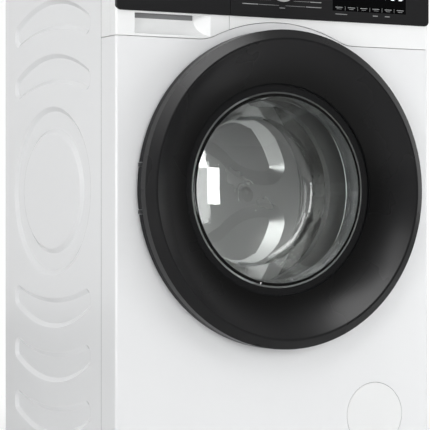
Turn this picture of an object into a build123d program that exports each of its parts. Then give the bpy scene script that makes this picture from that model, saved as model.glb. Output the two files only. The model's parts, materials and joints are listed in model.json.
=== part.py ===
from build123d import *
from math import cos, radians, sin, sqrt
import os

os.makedirs("parts", exist_ok=True)

# Cabinet
WIDTH = 597.0
HEIGHT = 850.0
DEPTH = 451.0  # front face to the rear edge of the side panels
SHEET = 1.0
CORNER_RADIUS = 4.5
SEAM_GAP = 1.0
RETURN_DEPTH = 54.0  # the front folds back this far along each side
FLANGE = 18.0
JOGGLE = 12.0
FOOT_HEIGHT = 14.0
WORKTOP_THICKNESS = 18.0
DOOR_STAND = 45.0  # door crest ahead of the front face
REAR_STAND = 22.0  # hose connections behind the side panels

FRONT_Y = (DOOR_STAND - DEPTH - REAR_STAND) / 2
REAR_Y = FRONT_Y + DEPTH
REAR_END = REAR_Y + REAR_STAND
HALF = WIDTH / 2
INNER_HALF = HALF - SHEET
BODY_TOP = HEIGHT - WORKTOP_THICKNESS
SIDE_FRONT = FRONT_Y + RETURN_DEPTH + SEAM_GAP
SIDE_MIDDLE = (SIDE_FRONT + REAR_Y) / 2

# Pressed beads of the side panels
BEAD_DEPTH = 5.0
BEAD_TAPER = 55.0
BEAD_HALF_LENGTH = 156.0
BEAD_HEIGHT = 50.0
BEAD_OUTER_RISE = 38.0
BEAD_INNER_RISE = 25.0
BEAD_CORNER = 16.0
BEAD_EDGE_RADIUS = 3.0
BEAD_FIRST = 232.0  # crest of the first bead from the port centre
BEAD_PITCH = 92.0
OVAL_LONG = 158.0
OVAL_SHORT = 143.0
OVAL_INNER_LONG = 116.0
OVAL_INNER_SHORT = 98.0
OVAL_SLOPE = 8.0

# Port, door, drum and tub share one axis
PORT_Z = 463.0
PORT_RADIUS = 172.0
PORT_LIP = 15.0
DOOR_RADIUS = 263.5
DOOR_BACK = 4.0  # door back face ahead of the front face
DOOR_WALL = 3.0
DOOR_SPLIT = 18.0  # line between the back frame and the front frame
DOOR_BEVEL_START = 35.0
DOOR_BEVEL_WIDTH = 16.0
DISH_SHARE = 11 / 23  # middle of the dish between the glass and the crest
DISH_MIDDLE_STAND = 21.0
DISH_INNER_STAND = 7.0
DOOR_CREST_FLAT = 3.0
DOOR_CREST_ROUND = 3.0
DOOR_TONGUE = 8.0
GLASS_SEEN_RADIUS = 177.0
FRAME_SEAT_RADIUS = 190.0
DOOR_CHAMFER = 2.5
GLASS_FLANGE_RADIUS = 184.0
GLASS_FLANGE = 2.5
GLASS_WALL = 5.0
BOWL_MOUTH_RADIUS = 160.0
BOWL_NECK_RADIUS = 155.0
BOWL_NECK_DEPTH = 20.0
BOWL_END_RADIUS = 126.0
BOWL_DEPTH = 112.0
BOWL_ROUND = 26.0
BOWL_DOME = 6.0
TRIM_RING = 2.5
TRIM_STAND = 2.5
RETAINER_OUTER = 198.0
RETAINER_INNER = 163.0
RETAINER_SHEET = 0.7

# Door hinge and latch
HINGE_INSET = 13.5  # pin centre in from the door edge
HINGE_STAND = 22.0  # pin centre ahead of the front face
PIN_RADIUS = 3.0
RUNNING_FIT = 0.06
HINGE_BOSS = 6.5
HINGE_ARM_OFFSET = 38.0
HINGE_ARM_HEIGHT = 6.0
HINGE_PLATE = 2.0
HINGE_PLATE_GAP = 2.0
HINGE_PLATE_HALF = 54.0
HINGE_BLOCK_LEFT = 4.5
HINGE_BLOCK_RIGHT = 7.5
HINGE_ARM = 8.5
HINGE_ELBOW = 19.0
HINGE_FOOT_OUT = 26.0
HINGE_BLOCK_TOP = 30.0
HINGE_SLIT_CLEAR = 1.0
HOOK_SHARE = 0.25  # hook between the glass clamp and the door edge
HOOK_PIVOT_STAND = 12.0
HOOK_PIN_RADIUS = 2.0
HOOK_KNUCKLE = 4.5
HOOK_HALF_HEIGHT = 5.0
HOOK_SHANK = 8.0
HOOK_REACH = 24.0
HOOK_BARB = 6.0
HOOK_SIDE_CLEAR = 0.5
LUG_WIDTH = 4.0
LOCK_HALF_HEIGHT = 38.0
LOCK_DEPTH = 42.0
LOCK_WALL = 5.0
LOCK_SLOT_LEFT = 11.0
LOCK_SLOT_RIGHT = 16.0
LOCK_SLOT_HALF = 9.0
POCKET_WIDTH = 38.5  # finger pocket behind the door rim
POCKET_DROP = 20.0
POCKET_HEIGHT = 90.0

# Fascia
SEAM_Z = 707.0
ARCH_RADIUS = 277.0
SEAM_BLEND = 70.0
FASCIA_WALL = 2.5
STRIP_BOTTOM = 748.0
STRIP_STAND = 4.0
STRIP_LIP = 3.0
STRIP_CORNER = 8.0
STRIP_EDGE = 1.2
DRAWER_SPLIT_X = -92.0
DRAWER_RETURN = 21.0
BULKHEAD = 24.0  # drawer bulkhead behind the front face
KNOB_X = 6.0
KNOB_Z = 799.0
KNOB_RADIUS = 24.0
KNOB_HEIGHT = 22.0
KNOB_GAP = 0.8
KNOB_CROWN = 3.0
KNOB_CAP = 7.0  # closed end over the shaft
ENCODER_SHAFT = 3.0
SHAFT_HOLE = 8.0
DISPLAY_LEFT = 104.0
DISPLAY_WIDTH = 147.0
DISPLAY_BOTTOM = 766.0
DISPLAY_HEIGHT = 50.0
DISPLAY_INSET = 1.5
BOARD_LEFT = -40.0
BOARD_WIDTH = 300.0
BOARD_BOTTOM = 754.0
BOARD_HEIGHT = 70.0
BOARD_FRONT = 14.0
BOARD_THICKNESS = 28.0
BOARD_POST = 5.0
ENCODER_HEIGHT = 8.0

# Detergent drawer
GRIP_SIDE = 33.5  # in from the cabinet side
GRIP_RIGHT = -127.0
GRIP_SLANT = 23.0
GRIP_BOTTOM = 712.0
GRIP_TOP = 745.5
GRIP_SLOT_Z = 738.0
GRIP_DEPTH = 19.5
GRIP_BELLY_DEPTH = 13.0
GRIP_BELLY_Z = 721.0
GRIP_WALL = 3.0
GRIP_POCKET_TOP = 760.0
GRIP_POCKET_LIP = 7.0
TRAY_SIDE = 18.5  # in from the cabinet side
TRAY_RIGHT = -104.0
TRAY_BOTTOM = 722.0
TRAY_HEIGHT = 62.0
TRAY_LENGTH = 229.0
TRAY_WALL = 2.0
TRAY_CLEAR = 3.0
LANES = 3
CAP_THICKNESS = 3.0
CAP_LENGTH = 110.0
HOUSING_WALL = 2.5
HOUSING_SIDE_CLEAR = 5.5
HOUSING_BOTTOM = 716.0
HOUSING_TOP = 824.0
HOUSING_BACK_CLEAR = 13.5
RAIL_CLEAR = 0.2
RAIL_WIDTH = 8.0

# Tub, drum and drive
TUB_RADIUS = 254.0
TUB_WALL = 4.5
TUB_FRONT_Y = -150.0
TUB_SPLIT_Y = -20.0
TUB_REAR_Y = 137.0
TUB_FLANGE = 4.0
NECK_INNER = 176.0
NECK_WALL = 4.0
NECK_LENGTH = 22.0
DRUM_GAP = 22.0  # drum to tub
DRUM_SHEET = 1.2
DRUM_FRONT_Y = -122.0
DRUM_BACK_Y = 106.0
DRUM_MOUTH = 158.0
DRUM_LIP = 14.0
ARMS = 3
PETAL_DEPTH = 13.0
PETAL_TAPER = 63.0
PETAL_CORNER = 34.0
STAR_RIM_INSET = 28.0
STAR_RIM_HALF = 26.0
STAR_WAIST_RADIUS = 150.0
STAR_WAIST_HALF = 17.0
STAR_HUB_RADIUS = 62.0
STAR_HUB_HALF = 59.0
LIFTER_HEIGHT = 50.0
LIFTER_BASE = 74.0
LIFTER_TOP = 28.0
LIFTER_END_GAP = 8.0
LIFTER_ROUND = 12.0
LIFTER_ANGLE = 60.0
SPIDER_THICKNESS = 14.0
SPIDER_HUB = 30.0
SPIDER_ARM = 26.0
SPIDER_INSET = 8.0
SHAFT_FRONT_RADIUS = 15.0
SHAFT_REAR_RADIUS = 12.5
SHAFT_END_RADIUS = 10.0
SHAFT_FIT = 0.03
BEARING_FRONT_RADIUS = 31.0
BEARING_FRONT_WIDTH = 16.0
BEARING_REAR_RADIUS = 26.0
BEARING_REAR_WIDTH = 15.0
BEARING_GAP = 4.0
HUB_RADIUS = 45.0
HUB_CLEAR = 4.0
PULLEY_RADIUS = 140.0
PULLEY_WIDTH = 16.0
PULLEY_RIM = 12.0
PULLEY_HUB = 22.0
PULLEY_GAP = 3.0
SPOKES = 6
SPOKE_WIDTH = 16.0
BOLT_HEAD = 14.0
BOLT_HEIGHT = 8.0
BELT_THICKNESS = 4.0
BELT_FIT = 0.3
MOTOR_DROP = 81.0  # motor axis below the tub
MOTOR_RADIUS = 60.0
MOTOR_FRONT_Y = 30.0
MOTOR_LENGTH = 116.0
MOTOR_PULLEY_RADIUS = 10.0
MOTOR_SHAFT = 7.0
MOTOR_EAR_HALF = 25.0
MOTOR_EAR_GAP = 2.0
EAR_THICKNESS = 14.0
WEIGHT_INNER = 186.0
WEIGHT_INSET = 8.0
WEIGHT_DEPTH = 42.0
WEIGHT_START = 40.0
WEIGHT_SWEEP = 100.0
HALF_TURN = 180.0
HEATER_RADIUS = 4.0
HEATER_INSET = 13.0
HEATER_HALF = 22.0
HEATER_TAIL = 15.0
PLUG_HALF_WIDTH = 30.0
PLUG_HALF_HEIGHT = 8.0
PLUG_STAND = 3.0
GASKET_WALL = 3.5
GASKET_FOLD = 8.0
GASKET_GRIP = 18.0

# Suspension and water path
SPRING_SIDE = 40.5
SPRING_Y = 70.0
SPRING_RADIUS = 11.0
SPRING_WALL = 3.5
SPRING_FOOT_Z = 606.0
SPRING_LUG = 10.0
BRACE_HEIGHT = 22.0
BRACE_HALF_DEPTH = 8.0
REAR_BRACE_INSET = 24.0
DAMPER_X = 150.0
DAMPER_Y = 20.0
DAMPER_RADIUS = 13.0
DAMPER_ROD = 5.0
DAMPER_ROD_CLEAR = 1.0
DAMPER_BASE_Z = 30.0
DAMPER_TOP_Z = 180.0
DAMPER_ROD_LOW_Z = 120.0
DAMPER_EYE_RISE = 27.0  # above the lowest line of the tub
BASE_PLATE = 3.0
BASE_WALL_HEIGHT = 16.0
BASE_CLEAR = 2.0
FOOT_SIDE = 43.5
FOOT_INSET_FRONT = 50.0
FOOT_INSET_REAR = 45.0
FOOT_RADIUS = 18.0
FOOT_PAD = 10.0
FOOT_ROUND = 3.0
STUD_RADIUS = 5.0
STUD_CLEAR = 0.4
STUD_TOP = 60.0
BOSS_RADIUS = 12.0
BOSS_TOP = 30.0
FILTER_SIDE = 108.5
FILTER_Z = 82.5
COVER_RADIUS = 54.7
COVER_GAP = 0.8
COVER_WALL = 2.5
COVER_BEVEL = 2.0  # rear edge, so that the cover swings clear of the panel
FLAP_AXIS_OUT = 6.0  # flap pin beyond the cover edge
FLAP_AXIS_BACK = 4.5
FLAP_PIN = 2.0
FLAP_KNUCKLE = 3.0
FLAP_ARM_BACK = 8.0
FLAP_ARM_THICKNESS = 3.0
FLAP_ARM_OFFSET = 11.0
FLAP_ARM_HEIGHT = 6.0
FLAP_LEG = 9.0
FLAP_LUG_LOW = 17.0
FLAP_LUG_TOP = 24.0
FLAP_LUG_HALF = 4.0
FLAP_LUG_REACH = 8.0
BEZEL_RADIUS = 58.0
BEZEL_WALL = 2.0
BEZEL_DEPTH = 33.0
BEZEL_HOLE = 33.0
BEZEL_NOTCH = 40.0
BEZEL_NOTCH_HALF = 22.0
PUMP_RADIUS = 42.0
PUMP_FRONT = 40.0
PUMP_LENGTH = 67.0
PUMP_BORE = 26.4
PUMP_FOOT_HALF = 30.0
PUMP_SEAT = 8.0
FILTER_RADIUS = 26.0
FILTER_LENGTH = 55.0
FILTER_DISC = 30.0
FILTER_DISC_THICKNESS = 6.0
FILTER_HANDLE_WIDTH = 44.0
FILTER_HANDLE_HEIGHT = 9.0
FILTER_HANDLE_DEPTH = 18.0
PUMP_MOTOR_RADIUS = 30.0
PUMP_MOTOR_LENGTH = 50.0
SUMP_OFFSET = 25.0  # from the pump axis
SUMP_Y = -125.0
SPIGOT_RADIUS = 16.0
SPIGOT_WALL = 3.0
PUMP_INLET_TOP = 150.0
SUMP_SPIGOT_RISE = 16.0  # above the lowest line of the tub
HOSE_WALL = 2.5
HOSE_GRIP = 14.0
FOLD_DEPTH = 5.0
FOLDS = 5
DISPENSER_INSET = 54.0  # in from the side of the tub
DISPENSER_Y = -64.0
DISPENSER_LOW = 700.0
TUB_INLET_RISE = 19.9
DRAIN_RADIUS = 10.5
DRAIN_Z = 160.0
DRAIN_FLANGE = 22.0
DRAIN_TAIL = 30.0
DRAIN_RISE_INSET = 57.0
OUTLET_SIDE = 50.5
OUTLET_Z = 97.0
HOSE_BEND = 20.0
INLET_X = 200.0
INLET_Z = 770.0
INLET_RADIUS = 13.2  # G 3/4 outside thread
INLET_BORE = 9.0
INLET_FLANGE = 48.0
VALVE_LENGTH = 60.0
VALVE_HALF = 18.0
VALVE_NECK = 16.0
VALVE_NECK_LENGTH = 10.0
FILL_RADIUS = 7.0
FILL_TAIL = 14.0
FILL_X = -190.0
FILL_RUN_Y = 112.0
GLAND_X = -235.0
GLAND_Z = 130.0
GLAND_RADIUS = 9.0
GLAND_BORE = 4.0
GLAND_STAND = 12.0
SERVICE_HOLE = 170.0
SERVICE_COVER = 186.0
SERVICE_BULGE = 9.0
SCREW_HEAD = 4.5
SCREW_HEIGHT = 2.5
SCREWS = 8
REAR_INSET = 3.0
FRAME_RIM = 16.0
BOARD_LEDGE = 8.0
BOARD_SHEET = 12.0
WORKTOP_EDGE = 3.0

PORT_AXIS_POINT = (0.0, PORT_Z)
TRAY_LEFT = TRAY_SIDE - HALF
GRIP_LEFT = GRIP_SIDE - HALF
SPRING_X = HALF - SPRING_SIDE
FOOT_X = HALF - FOOT_SIDE
FILTER_X = HALF - FILTER_SIDE
SUMP_X = FILTER_X - SUMP_OFFSET
OUTLET_END = HALF - OUTLET_SIDE
DISH_CREST_RADIUS = DOOR_RADIUS - DOOR_BEVEL_WIDTH
DISH_MIDDLE_RADIUS = GLASS_SEEN_RADIUS + DISH_SHARE * (DISH_CREST_RADIUS - GLASS_SEEN_RADIUS)
HOOK_X = RETAINER_OUTER + HOOK_SHARE * (DOOR_RADIUS - RETAINER_OUTER)
HINGE_X = HINGE_INSET - DOOR_RADIUS
HINGE_Y = FRONT_Y - HINGE_STAND
TUB_INNER = TUB_RADIUS - TUB_WALL
TUB_LOW = PORT_Z - TUB_RADIUS
DRUM_RADIUS = TUB_RADIUS - DRUM_GAP
STAR_RIM_RADIUS = DRUM_RADIUS - STAR_RIM_INSET
SPIDER_REACH = DRUM_RADIUS - SPIDER_INSET
WEIGHT_OUTER = TUB_RADIUS - WEIGHT_INSET
MOTOR_Z = TUB_LOW - MOTOR_DROP
DAMPER_EYE_Z = TUB_LOW + DAMPER_EYE_RISE
SUMP_SPIGOT_LOW = TUB_LOW + SUMP_SPIGOT_RISE
DISPENSER_X = DISPENSER_INSET - TUB_RADIUS
TUB_INLET_TOP = PORT_Z + sqrt(TUB_RADIUS**2 - (DISPENSER_X + SPIGOT_RADIUS) ** 2) + TUB_INLET_RISE
DRUM_INNER = DRUM_RADIUS - DRUM_SHEET
SPIDER_Y = DRUM_BACK_Y + SPIDER_THICKNESS
HUB_START = SPIDER_Y + HUB_CLEAR
BEARING_1_END = HUB_START + BEARING_FRONT_WIDTH
BEARING_2_START = BEARING_1_END + BEARING_GAP
BEARING_2_END = BEARING_2_START + BEARING_REAR_WIDTH
PULLEY_Y = BEARING_2_END + PULLEY_GAP
PULLEY_END = PULLEY_Y + PULLEY_WIDTH
MOTOR_REAR_Y = MOTOR_FRONT_Y + MOTOR_LENGTH
MOTOR_EAR_TOP = MOTOR_Z + MOTOR_RADIUS + MOTOR_EAR_GAP
EAR_ROWS = (MOTOR_FRONT_Y + EAR_THICKNESS, MOTOR_REAR_Y - 2 * EAR_THICKNESS)
HEATER_Z = TUB_LOW + HEATER_INSET
BASE_Z = FOOT_HEIGHT + SHEET
BASE_TOP = BASE_Z + BASE_PLATE
COVER_HOLE = COVER_RADIUS + COVER_GAP
FLAP_X = FILTER_X - COVER_HOLE - FLAP_AXIS_OUT
FLAP_Y = FRONT_Y + FLAP_AXIS_BACK
REAR_FACE = REAR_Y + SHEET
SPLIT_LEFT = DRAWER_SPLIT_X - SEAM_GAP / 2
SPLIT_RIGHT = DRAWER_SPLIT_X + SEAM_GAP / 2
STRIP_TOP = BODY_TOP - SEAM_GAP
KNOB_BACK = FRONT_Y - STRIP_STAND - KNOB_GAP
KNOB_FACE = KNOB_BACK - KNOB_HEIGHT
TRAY_Y = FRONT_Y + GRIP_DEPTH + GRIP_WALL
TRAY_END = TRAY_Y + TRAY_LENGTH
TRAY_TOP = TRAY_BOTTOM + TRAY_HEIGHT
LANE_PITCH = (TRAY_RIGHT - TRAY_LEFT - TRAY_WALL) / LANES
HOUSING_END = TRAY_END + HOUSING_BACK_CLEAR
HOOK_LUG_Z = HOOK_HALF_HEIGHT + HOOK_SIDE_CLEAR
BRACE_Z = BODY_TOP - SHEET - BRACE_HEIGHT
DRAIN_X = OUTLET_END + HOSE_BEND


def ahead(stand):
    """Y of a plane this far ahead of the front face."""
    return FRONT_Y - stand


def turned(points, mode=Mode.ADD, centre=PORT_AXIS_POINT):
    """Turn a closed outline of (radius, y) points about a level axis."""
    x, z = centre
    with BuildSketch(Plane((x, 0, z))) as profile:
        with BuildLine() as outline:
            Polyline(*points, close=True)
        make_face(outline.edges())
    revolve(profile.sketch, axis=Axis((x, 0, z), (0, 1, 0)), mode=mode)


def tube(outer, inner, y0, y1, mode=Mode.ADD, centre=PORT_AXIS_POINT):
    turned([(inner, y0), (outer, y0), (outer, y1), (inner, y1)], mode, centre)


def disc(radius, y0, y1, mode=Mode.ADD, centre=PORT_AXIS_POINT):
    tube(radius, 0, y0, y1, mode, centre)


def block(x0, x1, y0, y1, z0, z1, mode=Mode.ADD):
    with Locations(((x0 + x1) / 2, (y0 + y1) / 2, (z0 + z1) / 2)):
        Box(x1 - x0, y1 - y0, z1 - z0, mode=mode)


def post(x, y, radius, z0, z1, mode=Mode.ADD):
    with Locations((x, y, (z0 + z1) / 2)):
        Cylinder(radius, z1 - z0, mode=mode)


def polar(radius, angle):
    return radius * cos(radians(angle)), PORT_Z + radius * sin(radians(angle))


def front_outline(inset):
    """Filled plan of the cabinet front, inset from its outer face."""
    with BuildSketch(mode=Mode.PRIVATE) as plan:
        with Locations((0, FRONT_Y + inset + RETURN_DEPTH / 2)):
            Rectangle(WIDTH - 2 * inset, RETURN_DEPTH)
        fillet(plan.vertices().group_by(Axis.Y)[0], CORNER_RADIUS - inset)
    return plan.sketch


def folded_front(wall, top):
    """Front sheet with both side returns, from the plinth up to a height."""
    with BuildSketch(Plane.XY.offset(FOOT_HEIGHT)) as plan:
        add(front_outline(0))
        add(front_outline(wall), mode=Mode.SUBTRACT)
    extrude(plan.sketch, amount=top - FOOT_HEIGHT)


def bead(crest_z, grow, up):
    """Arched bead outline on the side panel, arching up or down."""
    half = BEAD_HALF_LENGTH
    low = crest_z - up * BEAD_HEIGHT
    with BuildSketch(mode=Mode.PRIVATE) as shape:
        with BuildLine() as outline:
            crest = ThreePointArc(
                (SIDE_MIDDLE - half, crest_z - up * BEAD_OUTER_RISE),
                (SIDE_MIDDLE, crest_z),
                (SIDE_MIDDLE + half, crest_z - up * BEAD_OUTER_RISE),
            )
            foot = ThreePointArc(
                (SIDE_MIDDLE - half, low - up * BEAD_INNER_RISE),
                (SIDE_MIDDLE, low),
                (SIDE_MIDDLE + half, low - up * BEAD_INNER_RISE),
            )
            Line(crest @ 0, foot @ 0)
            Line(crest @ 1, foot @ 1)
        make_face(outline.edges())
        fillet(shape.vertices(), BEAD_CORNER)
        offset(amount=grow)
    return shape.sketch


def oval_step(long, short, level, depth, spread, mode):
    """Oval step on the left panel, from one level inward to the next."""
    sections = []
    for x, grow in ((level, 0), (level + depth, spread)):
        with BuildSketch(Plane.YZ.offset(x - HALF)) as section:
            with Locations((SIDE_MIDDLE, PORT_Z)):
                Ellipse(long + grow, short + grow)
        sections.append(section.sketch.face())
    loft(sections, mode=mode)


def petal(angle, grow):
    """Recess of the drum back between two arms of its star."""
    side = HALF_TURN / ARMS

    def place(along, across, turn):
        tilt = radians(angle + turn * side)
        x = along * cos(tilt) + turn * across * sin(tilt)
        z = along * sin(tilt) - turn * across * cos(tilt)
        return x, PORT_Z + z

    with BuildSketch(mode=Mode.PRIVATE) as shape:
        with BuildLine() as outline:
            flanks = []
            for turn in (1, -1):
                flanks.append(
                    ThreePointArc(
                        place(STAR_RIM_RADIUS, STAR_RIM_HALF, turn),
                        place(STAR_WAIST_RADIUS, STAR_WAIST_HALF, turn),
                        place(STAR_HUB_RADIUS, STAR_HUB_HALF, turn),
                    )
                )
            rim = sqrt(STAR_RIM_RADIUS**2 + STAR_RIM_HALF**2)
            ThreePointArc(flanks[0] @ 0, polar(rim, angle), flanks[1] @ 0)
            Line(flanks[0] @ 1, flanks[1] @ 1)
        make_face(outline.edges())
        fillet(shape.vertices(), PETAL_CORNER)
        offset(amount=grow)
    return shape.sketch


def bellows(x, y, z0, z1, bore):
    """Upright ribbed hose gripping a spigot at each end."""
    start = z0 + HOSE_GRIP
    pitch = (z1 - HOSE_GRIP - start) / FOLDS
    outside = [(bore + HOSE_WALL, z0)]
    inside = [(bore, z0)]
    for fold in range(FOLDS):
        for share, swell in ((0, 0), (0.5, FOLD_DEPTH)):
            z = start + (fold + share) * pitch
            outside.append((bore + HOSE_WALL + swell, z))
            inside.append((bore + swell, z))
    for z in (z1 - HOSE_GRIP, z1):
        outside.append((bore + HOSE_WALL, z))
        inside.append((bore, z))
    with BuildSketch(Plane((x, y, 0), x_dir=(1, 0, 0), z_dir=(0, -1, 0))) as profile:
        with BuildLine() as outline:
            Polyline(*outside, *reversed(inside), close=True)
        make_face(outline.edges())
    revolve(profile.sketch, axis=Axis((x, y, 0), (0, 0, 1)))


def hose(points, bore):
    """Bent hose along a line of points."""
    with BuildLine() as run:
        FilletPolyline(*points, radius=HOSE_BEND)
    with BuildSketch(Plane(run.line @ 0, z_dir=run.line % 0)) as ring:
        Circle(bore + HOSE_WALL)
        Circle(bore, mode=Mode.SUBTRACT)
    sweep(ring.sketch, path=run.line)


def belt_loop(grow):
    """Open belt line round both pulleys."""
    with BuildSketch(mode=Mode.PRIVATE) as loop:
        with Locations((0, PORT_Z)):
            Circle(PULLEY_RADIUS + grow)
        with Locations((0, MOTOR_Z)):
            Circle(MOTOR_PULLEY_RADIUS + grow)
        make_hull(loop.edges())
    return loop.sketch


# Front seam: flat at the sides, arched round the door in the middle
with BuildSketch(Plane.XZ) as below_seam:
    with Locations((0, SEAM_Z / 2)):
        Rectangle(WIDTH + 2 * DOOR_STAND, SEAM_Z)
    with Locations((0, PORT_Z)):
        Circle(ARCH_RADIUS)
    notches = below_seam.vertices().filter_by(lambda v: abs(v.Y - SEAM_Z) < SHEET and abs(v.X) < HALF)
    fillet(notches, SEAM_BLEND)

with BuildSketch(Plane.XZ) as seam_cut:
    add(below_seam.sketch)
    offset(amount=SEAM_GAP)

# Cabinet shell
with BuildPart() as oval_punch:
    oval_step(OVAL_LONG, OVAL_SHORT, 0, BEAD_DEPTH, -OVAL_SLOPE, Mode.ADD)
    oval_step(OVAL_INNER_LONG, OVAL_INNER_SHORT, 0, BEAD_DEPTH, OVAL_SLOPE, Mode.SUBTRACT)

with BuildPart() as oval_die:
    oval_step(OVAL_LONG + SHEET, OVAL_SHORT + SHEET, 0, BEAD_DEPTH + SHEET, -OVAL_SLOPE, Mode.ADD)
    inner_long = OVAL_INNER_LONG - SHEET
    inner_short = OVAL_INNER_SHORT - SHEET
    oval_step(inner_long, inner_short, SHEET, BEAD_DEPTH, OVAL_SLOPE, Mode.SUBTRACT)

with BuildPart() as left_side_panel:
    block(-HALF, -INNER_HALF, SIDE_FRONT, REAR_Y, FOOT_HEIGHT, BODY_TOP)
    block(
        -INNER_HALF, SHEET - INNER_HALF, SIDE_FRONT - JOGGLE, SIDE_FRONT + JOGGLE,
        BASE_Z, SEAM_Z - JOGGLE,
    )
    block(-HALF, FLANGE - HALF, REAR_Y - SHEET, REAR_Y, FOOT_HEIGHT, BODY_TOP)
    block(-HALF, FLANGE - HALF, SIDE_FRONT, REAR_Y, FOOT_HEIGHT, BASE_Z)
    block(-HALF, FLANGE - HALF, SIDE_FRONT + JOGGLE, REAR_Y, BODY_TOP - SHEET, BODY_TOP)
    for grow, depth, mode in ((SHEET, BEAD_DEPTH + SHEET, Mode.ADD), (0, BEAD_DEPTH, Mode.SUBTRACT)):
        for up, count in ((1, 2), (-1, 3)):
            for row in range(count):
                with BuildSketch(Plane.YZ.offset(-HALF)) as outline:
                    add(bead(PORT_Z + up * (BEAD_FIRST + row * BEAD_PITCH), grow, up))
                extrude(outline.sketch, amount=depth, taper=BEAD_TAPER, mode=mode)
    add(oval_die.part)
    add(oval_punch.part, mode=Mode.SUBTRACT)
    face_edges = left_side_panel.edges().filter_by(lambda e: abs(e.center().X + HALF) < SEAM_GAP / 100)
    bead_edges = face_edges.filter_by(
        lambda e: SIDE_FRONT + JOGGLE < e.center().Y < REAR_Y - JOGGLE
        and FOOT_HEIGHT + JOGGLE < e.center().Z < BODY_TOP - JOGGLE
    )
    fillet(bead_edges, BEAD_EDGE_RADIUS)

with BuildPart() as right_side_panel:
    mirror(left_side_panel.part, about=Plane.YZ)

with BuildPart() as rear_panel:
    block(REAR_INSET - HALF, HALF - REAR_INSET, REAR_Y, REAR_FACE, BASE_Z, BODY_TOP)
    disc(SERVICE_HOLE, REAR_Y, REAR_FACE, Mode.SUBTRACT)
    disc(VALVE_NECK, REAR_Y, REAR_FACE, Mode.SUBTRACT, (INLET_X, INLET_Z))
    disc(DRAIN_RADIUS, REAR_Y, REAR_FACE, Mode.SUBTRACT, (DRAIN_X, DRAIN_Z))
    disc(GLAND_RADIUS, REAR_Y, REAR_FACE, Mode.SUBTRACT, (GLAND_X, GLAND_Z))

with BuildPart() as rear_service_cover:
    bulge_edge = SERVICE_HOLE - SERVICE_BULGE
    turned(
        [
            (SERVICE_COVER, REAR_FACE),
            (SERVICE_COVER, REAR_FACE + SHEET),
            (SERVICE_HOLE, REAR_FACE + SHEET),
            (bulge_edge, REAR_FACE + SERVICE_BULGE),
            (0, REAR_FACE + SERVICE_BULGE),
            (0, REAR_FACE + SERVICE_BULGE - SHEET),
            (bulge_edge - SHEET, REAR_FACE + SERVICE_BULGE - SHEET),
            (SERVICE_HOLE - SHEET, REAR_FACE),
        ]
    )

with BuildPart() as rear_screws:
    for index in range(SCREWS):
        place = polar((SERVICE_HOLE + SERVICE_COVER) / 2, index * 360 / SCREWS)
        disc(SCREW_HEAD, REAR_FACE + SHEET, REAR_FACE + SHEET + SCREW_HEIGHT, Mode.ADD, place)

with BuildPart() as front_panel:
    folded_front(SHEET, BODY_TOP)
    extrude(below_seam.sketch, amount=DEPTH, both=True, mode=Mode.INTERSECT)
    block(CORNER_RADIUS - HALF, HALF - CORNER_RADIUS, FRONT_Y, FRONT_Y + FLANGE, FOOT_HEIGHT, BASE_Z)
    disc(PORT_RADIUS, FRONT_Y, FRONT_Y + SHEET, Mode.SUBTRACT)
    tube(PORT_RADIUS + SHEET, PORT_RADIUS, FRONT_Y, FRONT_Y + PORT_LIP)
    disc(COVER_HOLE, FRONT_Y, FRONT_Y + SHEET, Mode.SUBTRACT, (FILTER_X, FILTER_Z))
    block(
        HOOK_X - LOCK_SLOT_LEFT, HOOK_X + LOCK_SLOT_RIGHT, FRONT_Y, FRONT_Y + SHEET,
        PORT_Z - LOCK_SLOT_HALF, PORT_Z + LOCK_SLOT_HALF, Mode.SUBTRACT,
    )

with BuildPart() as base_tray:
    edge = INNER_HALF - BASE_CLEAR
    front = FRONT_Y + SHEET + BASE_CLEAR
    rear = REAR_Y - SHEET - BASE_CLEAR
    block(-edge, edge, front, rear, BASE_Z, BASE_TOP + BASE_WALL_HEIGHT)
    inner = edge - BASE_PLATE
    block(-inner, inner, front, rear - BASE_PLATE, BASE_TOP, BASE_TOP + BASE_WALL_HEIGHT, Mode.SUBTRACT)
    for x in (-DAMPER_X, DAMPER_X):
        post(x, DAMPER_Y, DAMPER_RADIUS, BASE_TOP, DAMPER_BASE_Z)
    for x in (-FOOT_X, FOOT_X):
        for y in (FRONT_Y + FOOT_INSET_FRONT, REAR_Y - FOOT_INSET_REAR):
            post(x, y, BOSS_RADIUS, BASE_TOP, BOSS_TOP)
            post(x, y, STUD_RADIUS + STUD_CLEAR, BASE_Z, BOSS_TOP, Mode.SUBTRACT)
    block(
        FILTER_X - PUMP_FOOT_HALF, FILTER_X + PUMP_FOOT_HALF, FRONT_Y + PUMP_FRONT,
        FRONT_Y + PUMP_FRONT + PUMP_LENGTH, BASE_TOP, FILTER_Z - PUMP_RADIUS + PUMP_SEAT,
    )
    disc(PUMP_RADIUS, FRONT_Y, FRONT_Y + DEPTH / 2, Mode.SUBTRACT, (FILTER_X, FILTER_Z))

feet = {}
for side, x in (("left", -FOOT_X), ("right", FOOT_X)):
    for end, y in (("front", FRONT_Y + FOOT_INSET_FRONT), ("rear", REAR_Y - FOOT_INSET_REAR)):
        with BuildPart() as foot:
            post(x, y, FOOT_RADIUS, 0, FOOT_PAD)
            fillet(foot.edges().sort_by(Axis.Z)[-1], FOOT_ROUND)
            post(x, y, STUD_RADIUS, FOOT_PAD, STUD_TOP)
        feet[f"foot_{end}_{side}"] = foot

with BuildPart() as top_braces:
    for y in (SPRING_Y, REAR_Y - REAR_BRACE_INSET):
        block(
            -INNER_HALF, INNER_HALF, y - BRACE_HALF_DEPTH, y + BRACE_HALF_DEPTH,
            BRACE_Z, BRACE_Z + BRACE_HEIGHT,
        )

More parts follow.
